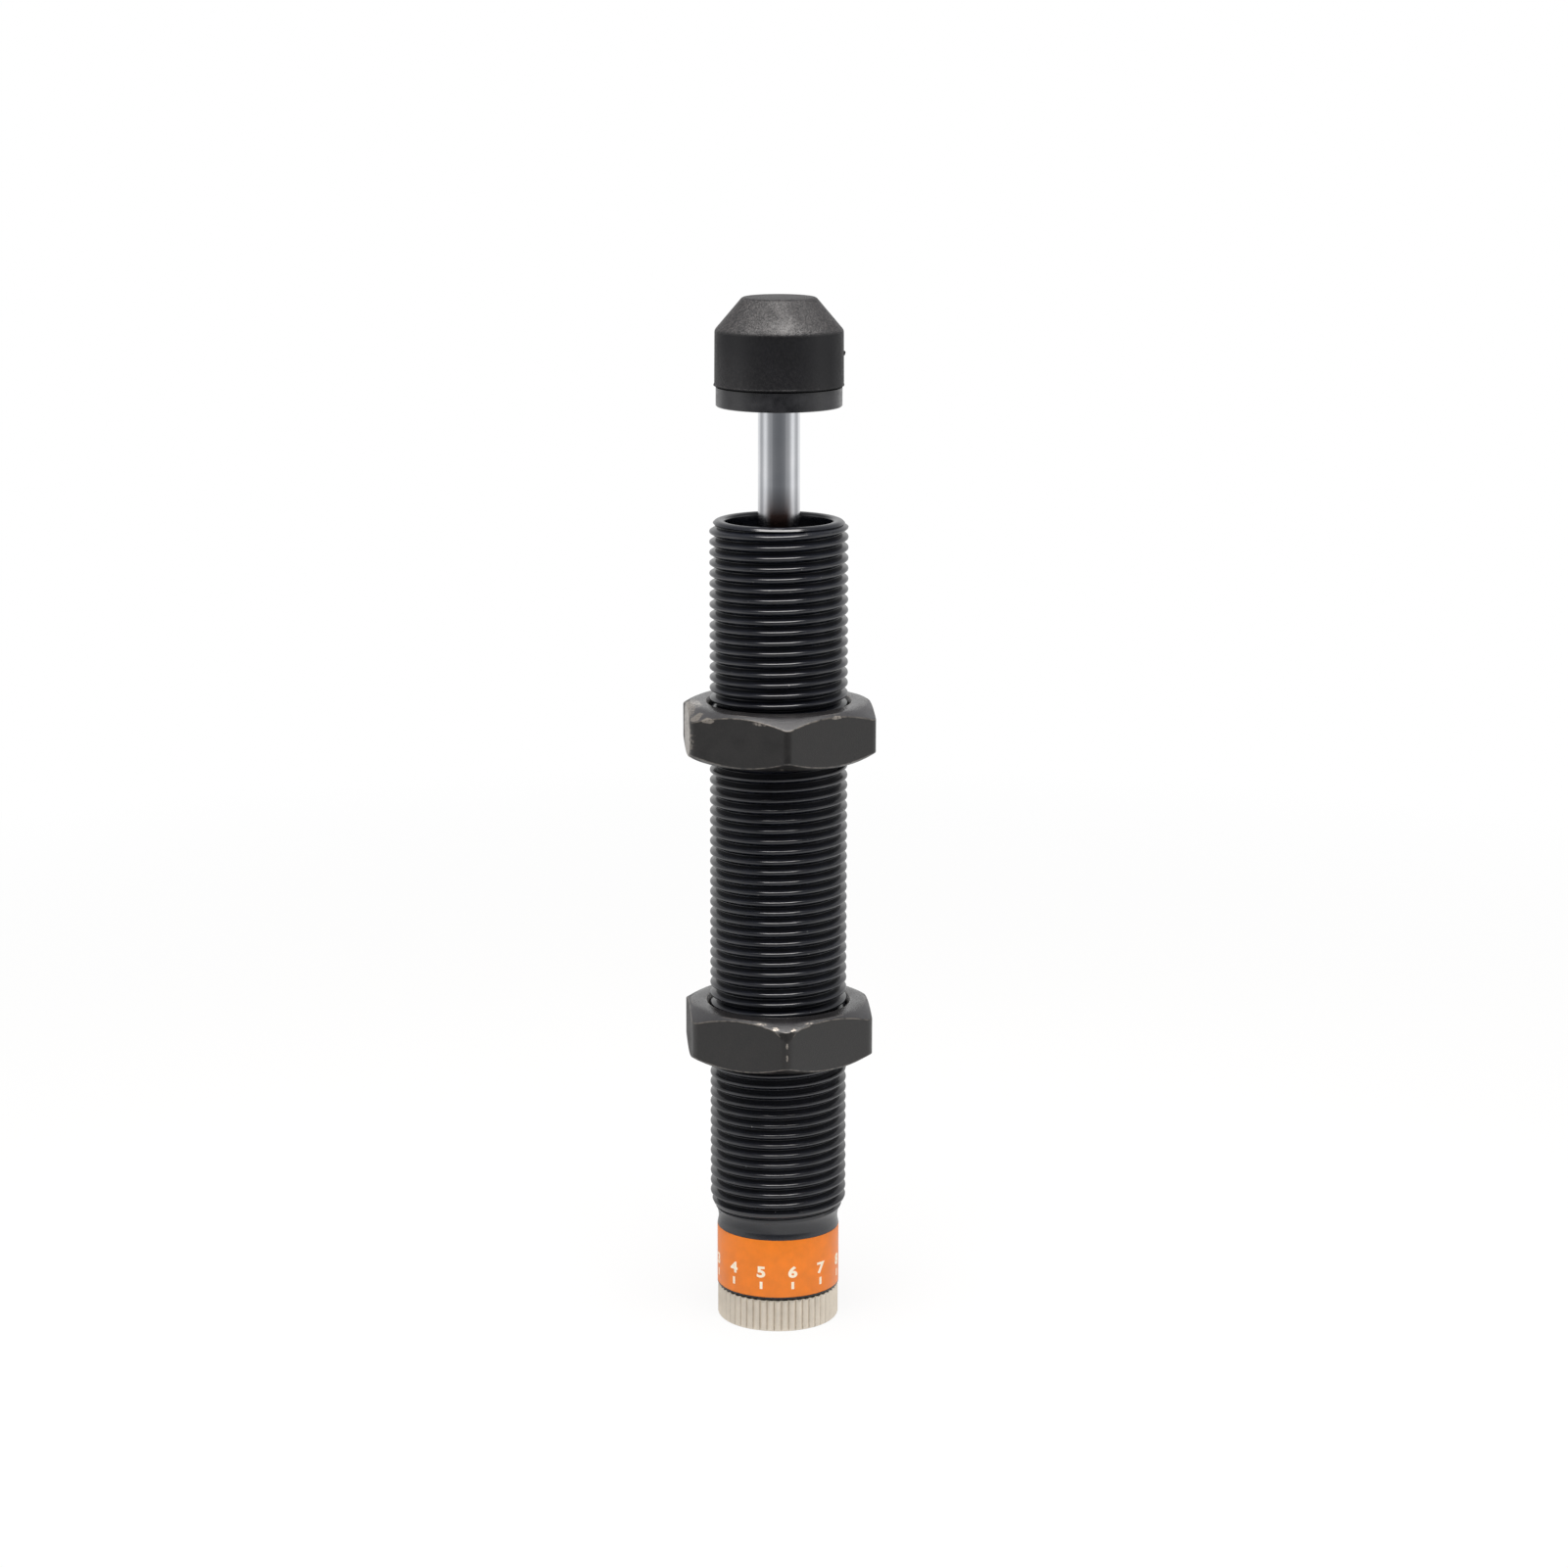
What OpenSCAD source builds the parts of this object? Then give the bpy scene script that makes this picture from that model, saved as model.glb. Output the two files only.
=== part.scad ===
// Adjustable industrial shock absorber: M20 x 1.5 body, 16 mm stroke, two lock nuts.
// Z = 0 is the end face of the adjuster knob and +Z runs along the axis to the bumper cap.
// Order of the sections: outside from the knob to the cap, then the damping cartridge inside.

/* [Body] */
// Major diameter of the body thread
thread_d = 19.8; // [19.4:0.1:22]
// Pitch of the body thread
thread_pitch = 1.5; // [1.25:0.25:2]
// Depth of the thread groove
thread_depth = 0.92; // [0.7:0.02:1]
// Width of the flat on each thread crest
thread_crest = 0.2; // [0.1:0.02:0.3]
// Length of the threaded stretch, up to the rim
thread_len = 101.65; // [92:0.05:130]
// Length over which the thread fades out next to the neck
thread_runout = 2.8; // [2:0.1:8]
// Diameter of the plain rim at the rod end
rim_d = 18.8; // [18.4:0.1:19]
// Length of the plain rim above the thread
rim_lead = 0.65; // [0.4:0.05:1.5]
// Width of the chamfers inside and outside the rim
rim_chamfer = 0.3; // [0.1:0.05:0.4]
// Diameter of the plain neck between thread and knob
neck_d = 17.84; // [17.5:0.02:18]
// Length of the plain neck
neck_len = 11.65; // [10.5:0.05:16]
// Thickness of the closed end wall that carries the adjuster shaft
end_wall_t = 9.9; // [8:0.1:11]
// Bore that holds the damping cartridge
body_bore_d = 14.8; // [14.6:0.05:15]
// Step from the damping bore out to the wider bore of the rod bearing
bearing_step = 0.25; // [0.15:0.05:0.5]
// Depth of the open recess around the rod
recess_depth = 2.4; // [1.5:0.1:4]

/* [Label] */
// Length of the dial label along the neck
label_len = 8.7; // [6:0.1:9.5]
// Thickness of the dial label
label_t = 0.18; // [0.1:0.02:0.25]
// Bare lip of the neck below the label
label_lip = 0.25; // [0.2:0.05:1]

/* [Adjuster knob] */
// Step from the neck in to the top of the knurl
knob_step = 0.07; // [0:0.01:0.5]
// Height of the knob
knob_h = 4.8; // [4.4:0.1:7]
// Gap between knob and neck
knob_gap = 0.25; // [0.15:0.05:0.5]
// Number of knurl teeth
knurl_teeth = 50; // [36:1:60]
// Depth of the knurl grooves
knurl_depth = 0.35; // [0.2:0.05:0.5]
// Chamfer on both knob edges
knob_chamfer = 0.35; // [0.2:0.05:0.6]
// Width of the pointer notch across the knurl
pointer_w = 0.9; // [0.6:0.1:1.4]
// Depth of the pocket that hides the knob screw
pocket_depth = 2.2; // [2:0.1:2.4]
// Turn of the knob from the first dial figure to the last
dial_turn = 270; // [180:10:290]
// Direction in which the first dial figure stands
dial_start = 102.3; // [0:0.1:360]
// Diameter of the stop pin in the neck's end face
stop_pin_d = 1.5; // [1:0.1:1.8]
// Depth to which the stop pin reaches into the knob
stop_pin_reach = 1.3; // [0.8:0.1:1.6]
// Radius at which the stop pin stands
stop_pin_orbit = 6.3; // [5.4:0.1:6.8]

/* [Lock nuts] */
// Width across the flats of a lock nut
nut_af = 26.7; // [26:0.1:30]
// Width across the rounded corners of a lock nut
nut_corner_d = 30.3; // [29.5:0.1:34]
// Thickness of a lock nut
nut_t = 8; // [6:0.5:10]
// Diameter of the flat ring on each nut face
nut_face_d = 25.1; // [24:0.1:25.8]
// Slope of the chamfer from a face down to the corners
nut_chamfer = 32; // [25:1:40]
// Diameter of the countersink at each mouth of the nut bore
nut_mouth_d = 20.9; // [20.5:0.1:22]
// Height of the lower nut's under face
lower_nut_z = 40; // [32:0.5:46]
// Turn of the lower nut about the axis
lower_nut_turn = 4.8; // [0:0.1:60]
// Height of the upper nut's under face
upper_nut_z = 84.2; // [76:0.2:96]
// Turn of the upper nut about the axis
upper_nut_turn = 5; // [0:0.1:60]

/* [Rod and bumper] */
// Diameter of the piston rod
rod_d = 6; // [5.5:0.1:6.4]
// Working stroke of the rod
stroke = 16; // [10:0.5:20]
// Diameter of the stud that holds the cap base
stud_d = 4; // [3:0.1:4.6]
// Length of the stud above the rod's shoulder
stud_len = 5.2; // [3.6:0.1:6]
// Thickness of the cap base disc
cap_base_t = 2.7; // [1.5:0.1:4]
// Diameter of the moulded bumper
bumper_d = 18.3; // [17:0.1:19]
// How far the bumper stands out past the cap base
bumper_overhang = 0.2; // [0.1:0.05:0.4]
// Length of the bumper, with the groove at its foot
bumper_len = 12.6; // [10.5:0.1:16]
// Height of the groove between cap base and bumper
bumper_groove = 0.3; // [0.2:0.05:0.6]
// Length of the bumper's tapered nose
nose_len = 4.6; // [3:0.1:5.5]
// Diameter of the flat strike face
strike_d = 10.4; // [8:0.1:13]
// Rounding of the bumper's edges
bumper_round = 0.5; // [0.2:0.05:0.8]

/* [Rod bearing] */
// Length of the bearing head that fills the wide bore
bearing_head_len = 12.5; // [11:0.1:16]
// Length of the bearing nose that the accumulator surrounds
bearing_nose_len = 18; // [14:0.5:24]
// Diameter of the bearing nose
bearing_nose_d = 9.4; // [9:0.1:10]
// Oil gap round the foot that the pressure tube butts against
bearing_foot_gap = 0.8; // [0.5:0.05:1.1]
// Thickness of that foot
bearing_foot_t = 2.5; // [1.5:0.1:4]
// Length of the spigot inside the pressure tube
bearing_spigot_len = 4; // [3:0.1:6]
// Diameter of the seal pocket
seal_pocket_d = 10.4; // [10:0.1:11.4]
// Depth of the seal pocket
seal_pocket_depth = 4; // [3:0.1:5]
// Height of the cover over the seal
cover_h = 4.4; // [3.6:0.1:6]
// Diameter of the wiper pocket in the cover
wiper_pocket_d = 9.6; // [9:0.1:10.4]
// Depth of the wiper pocket
wiper_pocket_depth = 2.5; // [2:0.1:3]
// Thickness of the retaining ring
ring_t = 1; // [0.8:0.05:1.4]
// Radial width of the retaining ring
ring_w = 1.4; // [1:0.1:1.8]
// Depth of the retaining ring's groove in the body
ring_groove = 0.4; // [0.3:0.02:0.45]
// Depth of the groove for the bearing's sealing ring
bearing_seal_groove = 1.35; // [1:0.05:1.6]

/* [Damping cartridge] */
// Width of the oil annulus between bore and metering sleeve
sleeve_annulus = 0.55; // [0.4:0.05:0.8]
// Wall of the metering sleeve
sleeve_wall = 0.85; // [0.7:0.05:1]
// Wall of the pressure tube
tube_wall = 1.15; // [1:0.05:1.4]
// Offset of the metering bore from the axis, which throttles the orifices
metering_offset = 0.18; // [0.05:0.01:0.22]
// Number of metering orifices along the stroke
orifices = 7; // [4:1:9]
// Diameter of a metering orifice
orifice_d = 1.2; // [0.6:0.1:1.4]
// Diameter of the sleeve's outlet windows
window_d = 3; // [2:0.1:3.6]
// Thickness of the flange that turns the sleeve
flange_t = 2; // [1.8:0.1:3]
// Diameter of the adjuster stem
stem_d = 5.9; // [5.4:0.1:6.4]
// Diameter of the keyed stem end inside the knob
key_d = 4.8; // [4.4:0.1:5]
// Width of a drive tongue between sleeve and flange
tongue_w = 2; // [1.2:0.1:3]
// Depth of a drive tongue
tongue_h = 1; // [0.6:0.1:1.4]
// Thickness of the thrust washer
washer_t = 0.7; // [0.4:0.05:1.2]
// Thickness of the tube plug's disc
plug_t = 1.5; // [1:0.1:3]
// Length of the tube plug's spigot inside the pressure tube
plug_spigot_len = 3; // [2:0.1:5]
// Length of the piston head
piston_len = 8; // [7:0.1:10]
// Height of the check ring
check_ring_h = 2.5; // [1.8:0.1:3]
// Free travel of the check ring in its groove
check_ring_float = 0.4; // [0.2:0.05:0.6]
// Diameter of the return spring's wire
spring_wire = 1.1; // [0.8:0.05:1.2]
// Number of turns in the return spring
spring_turns = 13; // [8:1:16]

/* [Hidden] */
$fn = 96;
tiny = 0.01;
through = 1;                // how far a cutter runs past what it cuts

// clearances: radial ones for pieces that stay together and for running fits, and axial ones
seat_gap = 0.02;
run_gap = 0.05;
seal_gap = 0.02;
nut_gap = 0.08;
axial_gap = 0.1;
stop_gap = 0.3;
bottom_gap = 0.05;

// levels from the knob upwards
neck_z = knob_h + knob_gap;
floor_z = neck_z + end_wall_t;
thread_z = neck_z + neck_len;
rim_z = thread_z + thread_len;
label_z = neck_z + label_lip;
flange_z = floor_z + axial_gap;
washer_z = flange_z + flange_t + axial_gap;
plug_z = washer_z + washer_t;
tube_z = plug_z + plug_t;
// levels from the rim downwards
ring_z = rim_z - recess_depth - ring_t;
cover_z = ring_z - cover_h;
bearing_z = cover_z - bearing_head_len;
tube_top_z = bearing_z - bearing_nose_len;
piston_top_z = tube_top_z - bearing_spigot_len - stop_gap;
piston_z = piston_top_z - piston_len;
// levels above the rim
cap_z = rim_z + stroke + bottom_gap;
bumper_z = cap_z + cap_base_t;
top_z = bumper_z + bumper_len;

// thread form: 60 degree flanks, so the flat at the root is what pitch and crest leave
flank_tan = tan(30);
groove_mouth = thread_pitch - thread_crest;
groove_root = groove_mouth - 2 * thread_depth * flank_tan;
thread_r = thread_d / 2;
root_r = thread_r - thread_depth;
neck_r = neck_d / 2;
rim_r = rim_d / 2;
runout_drop = 0.9 * thread_depth;
top_groove_z = rim_z - rim_lead - (rim_r - root_r) * flank_tan - groove_root / 2;
grooves = floor((top_groove_z - thread_z - groove_mouth / 2) / thread_pitch) + 1;

// radii of the bores and what fills them
body_bore_r = body_bore_d / 2;
bearing_bore_r = body_bore_r + bearing_step;
sleeve_r = body_bore_r - sleeve_annulus;
tube_r = sleeve_r - sleeve_wall - run_gap;
tube_bore_r = tube_r - tube_wall;
rod_r = rod_d / 2;
bumper_r = bumper_d / 2;
knob_r = neck_r - knob_step;
knurl_root_r = knob_r - knurl_depth;
stem_r = stem_d / 2;
stem_bore_r = stem_r + run_gap;
key_r = key_d / 2;
key_flat = 0.75 * key_r;
stud_r = stud_d / 2;
cover_bore_r = rod_r + 0.2;

// knob screw and stop pin
screw_r = 1.25;
screw_head_r = 2.7;
screw_head_h = 1.6;
screw_len = 5.5;
screw_socket_af = 2.5;
screw_socket_depth = 1;
pocket_r = screw_head_r + 0.4;
stop_pin_r = stop_pin_d / 2;
stop_pin_seat = 3;
stop_clear = 0.15;
// the pin stands just short of one end of the knob's slot when the dial is at its first figure
stop_angle = 200;
stop_slack = asin((stop_pin_r + stop_clear) / stop_pin_orbit);

// piston: ring groove and nut
piston_r = tube_bore_r - 0.08;
piston_nut_h = 2.4;
check_gap = 0.03;
ring_land = 2.4;
check_groove_r = piston_r - 0.9;
check_groove_z = piston_z + ring_land;
check_groove_h = check_ring_h + check_ring_float + 2 * bottom_gap;
check_slit = 0.4;

// anchor on the cap base: a head above a thinner neck
cap_anchor_r = 0.6 * bumper_r;
anchor_neck_r = cap_anchor_r - 1;
anchor_top_z = cap_z + stud_len + 1;
anchor_head_z = anchor_top_z - 1.4;

// sealing ring of the adjuster shaft and its groove
shaft_groove_w = 1.5;
shaft_groove_z = neck_z + end_wall_t * 0.45;
shaft_cord = 0.9;
shaft_ring_r = stem_bore_r - seal_gap - shaft_cord / 2;

// return spring between tube plug and piston
spring_r = tube_bore_r - 0.2 - spring_wire / 2;
spring_inner_r = spring_r - spring_wire / 2;
// the piston's nut stands inside the spring, on the rod's spigot
piston_nut_r = spring_inner_r - 0.325;
piston_nut_wall = 1.675;
spigot_r = piston_nut_r - piston_nut_wall;
spring_z = tube_z + plug_spigot_len;
spring_facets = 6;
spring_steps = 18;

// metering sleeve: it covers every orifice and ends below the tube's return ports
sleeve_z = flange_z + flange_t;
sleeve_top_z = piston_z + 2.4;
port_d = 1.8;
port_z = piston_top_z - port_d / 2 - 0.6;
metering_z = piston_z - stroke - 2;
metering_relief = 0.03;
metering_r = tube_r + run_gap + metering_offset + metering_relief;

function arc(cx, cy, r, from, to, steps = 6) =
    [for (i = [0:steps]) let (a = from + (to - from) * i / steps) [cx + r * cos(a), cy + r * sin(a)]];
// crest radius of the thread, which falls towards the neck over the run-out
function crest_r(z) = thread_r - runout_drop * max(0, 1 - (z - thread_z) / thread_runout);

// solid turned from an outline of [radius, height] points
module turned(outline) {
    rotate_extrude() polygon(outline);
}

// plain ring between two radii
module ring(inner_r, outer_r, z, h) {
    turned([[inner_r, z], [outer_r, z], [outer_r, z + h], [inner_r, z + h]]);
}

// round sealing ring of a given cord, centred at a height
module o_ring(centre_r, cord_d, z) {
    translate([0, 0, z]) rotate_extrude() translate([centre_r, 0]) circle(d = cord_d);
}

// ---- body and what is fixed in it ----

module threaded_body() {
    neck_chamfer = 0.2;
    label_seat_r = neck_r - label_t - seat_gap;
    groove_r = bearing_bore_r + ring_groove;
    // the outside from the neck up, with one V groove per turn, and the bores back down
    outside = concat(
        [[stem_bore_r, neck_z], [neck_r - neck_chamfer, neck_z], [neck_r, neck_z + neck_chamfer],
         [neck_r, label_z], [label_seat_r, label_z], [label_seat_r, label_z + label_len],
         [neck_r, label_z + label_len], [neck_r, thread_z], [crest_r(thread_z), thread_z]],
        [for (i = [grooves - 1:-1:1]) let (z = top_groove_z - i * thread_pitch) each [
            [crest_r(z - groove_mouth / 2), z - groove_mouth / 2], [root_r, z - groove_root / 2],
            [root_r, z + groove_root / 2], [crest_r(z + groove_mouth / 2), z + groove_mouth / 2]]],
        [[thread_r, top_groove_z - groove_mouth / 2], [root_r, top_groove_z - groove_root / 2],
         [root_r, top_groove_z + groove_root / 2], [rim_r, rim_z - rim_lead],
         [rim_r, rim_z - rim_chamfer], [rim_r - rim_chamfer, rim_z]]
    );
    bores = [
        [bearing_bore_r + rim_chamfer, rim_z], [bearing_bore_r, rim_z - rim_chamfer],
        [bearing_bore_r, ring_z + ring_t + bottom_gap], [groove_r, ring_z + ring_t + bottom_gap],
        [groove_r, ring_z], [bearing_bore_r, ring_z], [bearing_bore_r, bearing_z],
        [body_bore_r, bearing_z], [body_bore_r, floor_z], [stem_bore_r, floor_z]
    ];
    color([0.10, 0.10, 0.11]) difference() {
        turned(concat(outside, bores));
        stop_pin_hole();
    }
}

// blind hole in the neck's end face that the stop pin is pressed into
module stop_pin_hole() {
    rotate(stop_angle) translate([stop_pin_orbit, 0, neck_z - through])
        cylinder(r = stop_pin_r + seat_gap, h = stop_pin_seat + through + seat_gap);
}

module scale_label() {
    color([0.91, 0.47, 0.15]) ring(neck_r - label_t, neck_r, label_z + seat_gap, label_len - 2 * seat_gap);
}

module stop_pin() {
    color([0.7, 0.7, 0.72]) rotate(stop_angle)
        translate([stop_pin_orbit, 0, neck_z - knob_gap - stop_pin_reach])
        cylinder(r = stop_pin_r, h = stop_pin_reach + knob_gap + stop_pin_seat);
}

module retaining_ring() {
    // open ring, so that it can be squeezed into its groove
    ring_opening = 30;
    outer_r = bearing_bore_r + ring_groove - seat_gap;
    color([0.32, 0.32, 0.34]) translate([0, 0, ring_z]) rotate(90 + ring_opening / 2)
        rotate_extrude(angle = 360 - ring_opening) translate([outer_r - ring_w, 0]) square([ring_w, ring_t]);
}

module seal_cover() {
    outer_r = bearing_bore_r - run_gap;
    pocket_z = ring_z - wiper_pocket_depth;
    color([0.45, 0.45, 0.47]) turned([
        [cover_bore_r, cover_z], [outer_r, cover_z], [outer_r, ring_z], [wiper_pocket_d / 2, ring_z],
        [wiper_pocket_d / 2, pocket_z], [cover_bore_r, pocket_z]
    ]);
}

module rod_wiper() {
    // the scraping lip stands a little above the cover and leans on the rod
    pocket_z = ring_z - wiper_pocket_depth;
    lip_r = rod_r + seal_gap;
    lip_z = ring_z + 0.5 * ring_t;
    outer_r = wiper_pocket_d / 2 - seat_gap;
    color([0.12, 0.12, 0.12]) turned([
        [cover_bore_r + seat_gap, pocket_z], [outer_r, pocket_z], [outer_r, ring_z], [rod_r + 0.9, ring_z],
        [rod_r + 0.35, lip_z], [lip_r, lip_z], [lip_r, lip_z - 0.5], [rod_r + 0.3, ring_z - 0.8]
    ]);
}

module rod_seal() {
    // U-cup with its open side to the oil
    z = cover_z - seal_pocket_depth;
    inner_r = rod_r + seal_gap;
    outer_r = seal_pocket_d / 2 - seat_gap;
    middle_r = (inner_r + outer_r) / 2;
    lip_h = seal_pocket_depth * 0.5;
    color([0.2, 0.26, 0.4]) turned([
        [inner_r, z + 0.3], [inner_r + 0.3, z], [middle_r - 0.15, z + lip_h], [middle_r + 0.15, z + lip_h],
        [outer_r - 0.3, z], [outer_r, z + 0.3], [outer_r, cover_z], [inner_r + 0.2, cover_z],
        [inner_r + 0.2, cover_z - 1], [inner_r, cover_z - 1.2]
    ]);
}

module rod_bearing() {
    bore_r = rod_r + run_gap;
    head_r = bearing_bore_r - run_gap;
    nose_r = bearing_nose_d / 2;
    foot_r = body_bore_r - bearing_foot_gap;
    spigot_out_r = tube_bore_r - seat_gap;
    groove_r = bearing_bore_r - bearing_seal_groove;
    groove_z = bearing_z + 3;
    groove_h = bearing_seal_groove + 0.7;
    pocket_z = cover_z - seal_pocket_depth;
    color([0.66, 0.5, 0.26]) turned([
        [bore_r, tube_top_z - bearing_spigot_len], [spigot_out_r, tube_top_z - bearing_spigot_len],
        [spigot_out_r, tube_top_z], [foot_r, tube_top_z], [foot_r, tube_top_z + bearing_foot_t],
        [nose_r, tube_top_z + bearing_foot_t], [nose_r, bearing_z], [head_r, bearing_z],
        [head_r, groove_z], [groove_r, groove_z], [groove_r, groove_z + groove_h],
        [head_r, groove_z + groove_h], [head_r, cover_z], [seal_pocket_d / 2, cover_z],
        [seal_pocket_d / 2, pocket_z], [bore_r, pocket_z]
    ]);
}

module bearing_o_ring() {
    cord_d = bearing_seal_groove - 2 * seat_gap;
    color([0.08, 0.08, 0.08])
        o_ring(bearing_bore_r - bearing_seal_groove / 2, cord_d,
            bearing_z + 3 + bearing_seal_groove / 2 + 0.35);
}

module accumulator_foam() {
    z = tube_top_z + bearing_foot_t;
    color([0.25, 0.25, 0.27]) ring(bearing_nose_d / 2 + run_gap, body_bore_r - run_gap,
        z + seat_gap, bearing_z - z - 2 * seat_gap);
}

module pressure_tube() {
    // the orifices stand closer together towards the end of the stroke
    color([0.72, 0.72, 0.74]) difference() {
        ring(tube_bore_r, tube_r, tube_z, tube_top_z - tube_z);
        for (i = [0:orifices - 1]) translate([0, 0, orifice_z(i)]) rotate([90, 0, 0])
            cylinder(d = orifice_d, h = tube_r + through);
        for (a = [0, 180]) translate([0, 0, port_z]) rotate([0, 90, a])
            cylinder(d = port_d, h = tube_r + through);
    }
}

function orifice_z(i) = piston_z - orifice_d - (stroke - orifice_d) * sqrt(i / (orifices - 1));

module tube_plug() {
    pilot_r = spring_inner_r - 0.15;
    pilot_h = 2;
    outer_r = tube_r - run_gap;
    inner_r = tube_bore_r - seat_gap;
    color([0.6, 0.6, 0.62]) turned([
        [0, plug_z], [outer_r, plug_z], [outer_r, tube_z], [inner_r, tube_z], [inner_r, spring_z],
        [pilot_r, spring_z], [pilot_r, spring_z + pilot_h], [0, spring_z + pilot_h]
    ]);
}

module thrust_washer() {
    color([0.85, 0.84, 0.78]) ring(stem_r + 0.5, tube_r - run_gap, washer_z, washer_t);
}

// ---- return spring ----

// centre line of the wire at step i: the end turns lie almost flat, as on a ground spring
function spring_rise(t) = t < 1 ? 0 : t > spring_turns - 1 ? 1 : (t - 1) / (spring_turns - 2);
function spring_height(t, low, high) =
    low + spring_wire * 0.5 + min(t, 1) * spring_wire * 1.05
    + spring_rise(t) * (high - low - spring_wire * 3.1)
    + max(0, t - spring_turns + 1) * spring_wire * 1.05;

module return_spring() {
    steps = spring_turns * spring_steps;
    low = spring_z + seat_gap;
    high = piston_z - seat_gap;
    points = [for (i = [0:steps], k = [0:spring_facets - 1])
        let (a = 360 * i / spring_steps, b = 360 * k / spring_facets,
             r = spring_r + spring_wire / 2 * cos(b))
        [r * cos(a), r * sin(a), spring_height(i / spring_steps, low, high) + spring_wire / 2 * sin(b)]];
    sides = [for (i = [0:steps - 1], k = [0:spring_facets - 1])
        let (p = i * spring_facets, q = (k + 1) % spring_facets)
        [p + k, p + q, p + q + spring_facets, p + k + spring_facets]];
    ends = [[for (k = [spring_facets - 1:-1:0]) k],
            [for (k = [0:spring_facets - 1]) steps * spring_facets + k]];
    color([0.55, 0.56, 0.6]) polyhedron(points, concat(sides, ends), convexity = 20);
}

// ---- rod, piston and bumper ----

module piston_rod() {
    edge = 0.3;
    nut_end_z = piston_z - piston_nut_h - edge;
    color([0.78, 0.79, 0.81]) turned([
        [0, nut_end_z], [spigot_r - edge, nut_end_z], [spigot_r, nut_end_z + edge],
        [spigot_r, piston_top_z], [rod_r - edge, piston_top_z], [rod_r, piston_top_z + edge],
        [rod_r, cap_z - edge], [rod_r - edge, cap_z], [stud_r, cap_z], [stud_r, cap_z + stud_len - edge],
        [stud_r - edge, cap_z + stud_len], [0, cap_z + stud_len]
    ]);
}

module piston_head() {
    notches = 4;
    notch_d = 1.2;
    color([0.5, 0.5, 0.52]) difference() {
        turned([
            [spigot_r + seat_gap, piston_z], [piston_r, piston_z], [piston_r, check_groove_z],
            [check_groove_r, check_groove_z], [check_groove_r, check_groove_z + check_groove_h],
            [piston_r, check_groove_z + check_groove_h], [piston_r, piston_top_z],
            [spigot_r + seat_gap, piston_top_z]
        ]);
        // oil passes these notches under the check ring while the rod returns
        for (i = [0:notches - 1]) rotate(i * 360 / notches)
            translate([piston_r, 0, piston_z - through])
            cylinder(d = notch_d, h = check_groove_z - piston_z + through + tiny);
    }
}

module piston_nut() {
    color([0.6, 0.6, 0.62]) translate([0, 0, piston_z - piston_nut_h]) difference() {
        cylinder(r = piston_nut_r, h = piston_nut_h, $fn = 6);
        translate([0, 0, -through]) cylinder(r = spigot_r + seat_gap, h = piston_nut_h + 2 * through);
    }
}

module check_ring() {
    // slit ring that lifts off the lower land when the rod returns
    inner_r = check_groove_r + 0.15;
    outer_r = tube_bore_r - check_gap;
    color([0.35, 0.33, 0.3]) translate([0, 0, check_groove_z + bottom_gap]) difference() {
        ring(inner_r, outer_r, 0, check_ring_h);
        translate([0, -check_slit / 2, -through])
            cube([outer_r + through, check_slit, check_ring_h + 2 * through]);
    }
}

// outline of the anchor that the bumper is moulded round, larger by a clearance
function anchor(gap) = [
    [anchor_neck_r + gap, bumper_z], [anchor_neck_r + gap, anchor_head_z - gap],
    [cap_anchor_r + gap, anchor_head_z - gap], [cap_anchor_r + gap, anchor_top_z + gap]
];

module cap_base() {
    edge = 0.15;
    r = bumper_r - bumper_overhang;
    color([0.2, 0.2, 0.21]) turned(concat(
        [[stud_r + seat_gap, cap_z], [r - edge, cap_z], [r, cap_z + edge], [r, bumper_z]],
        anchor(0),
        [[0, anchor_top_z], [0, cap_z + stud_len + seat_gap],
         [stud_r + seat_gap, cap_z + stud_len + seat_gap]]
    ));
}

module bumper_cap() {
    strike_r = strike_d / 2;
    slope = atan((bumper_r - strike_r) / nose_len);
    shoulder_z = top_z - nose_len;
    reach = bumper_round * tan((90 - slope) / 2);
    turn = bumper_round * tan(slope / 2);
    groove_r = bumper_r - bumper_overhang - 0.35;
    cavity = anchor(seat_gap);
    color([0.13, 0.13, 0.13]) turned(concat(
        [[groove_r, bumper_z], [groove_r, bumper_z + bumper_groove], [bumper_r, bumper_z + bumper_groove]],
        arc(bumper_r - bumper_round, shoulder_z - turn, bumper_round, 0, slope, 3),
        arc(strike_r - reach, top_z - bumper_round, bumper_round, slope, 90),
        [[0, top_z], [0, anchor_top_z + seat_gap]],
        [for (i = [3:-1:0]) cavity[i]]
    ));
}

// ---- adjuster ----

module knurled_outline() {
    tooth = 360 / knurl_teeth;
    flat = 0.16 * tooth;
    polygon([for (i = [0:knurl_teeth - 1]) each [
        [knob_r * cos(i * tooth - flat), knob_r * sin(i * tooth - flat)],
        [knob_r * cos(i * tooth + flat), knob_r * sin(i * tooth + flat)],
        [knurl_root_r * cos((i + 0.5) * tooth), knurl_root_r * sin((i + 0.5) * tooth)]
    ]]);
}

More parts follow.
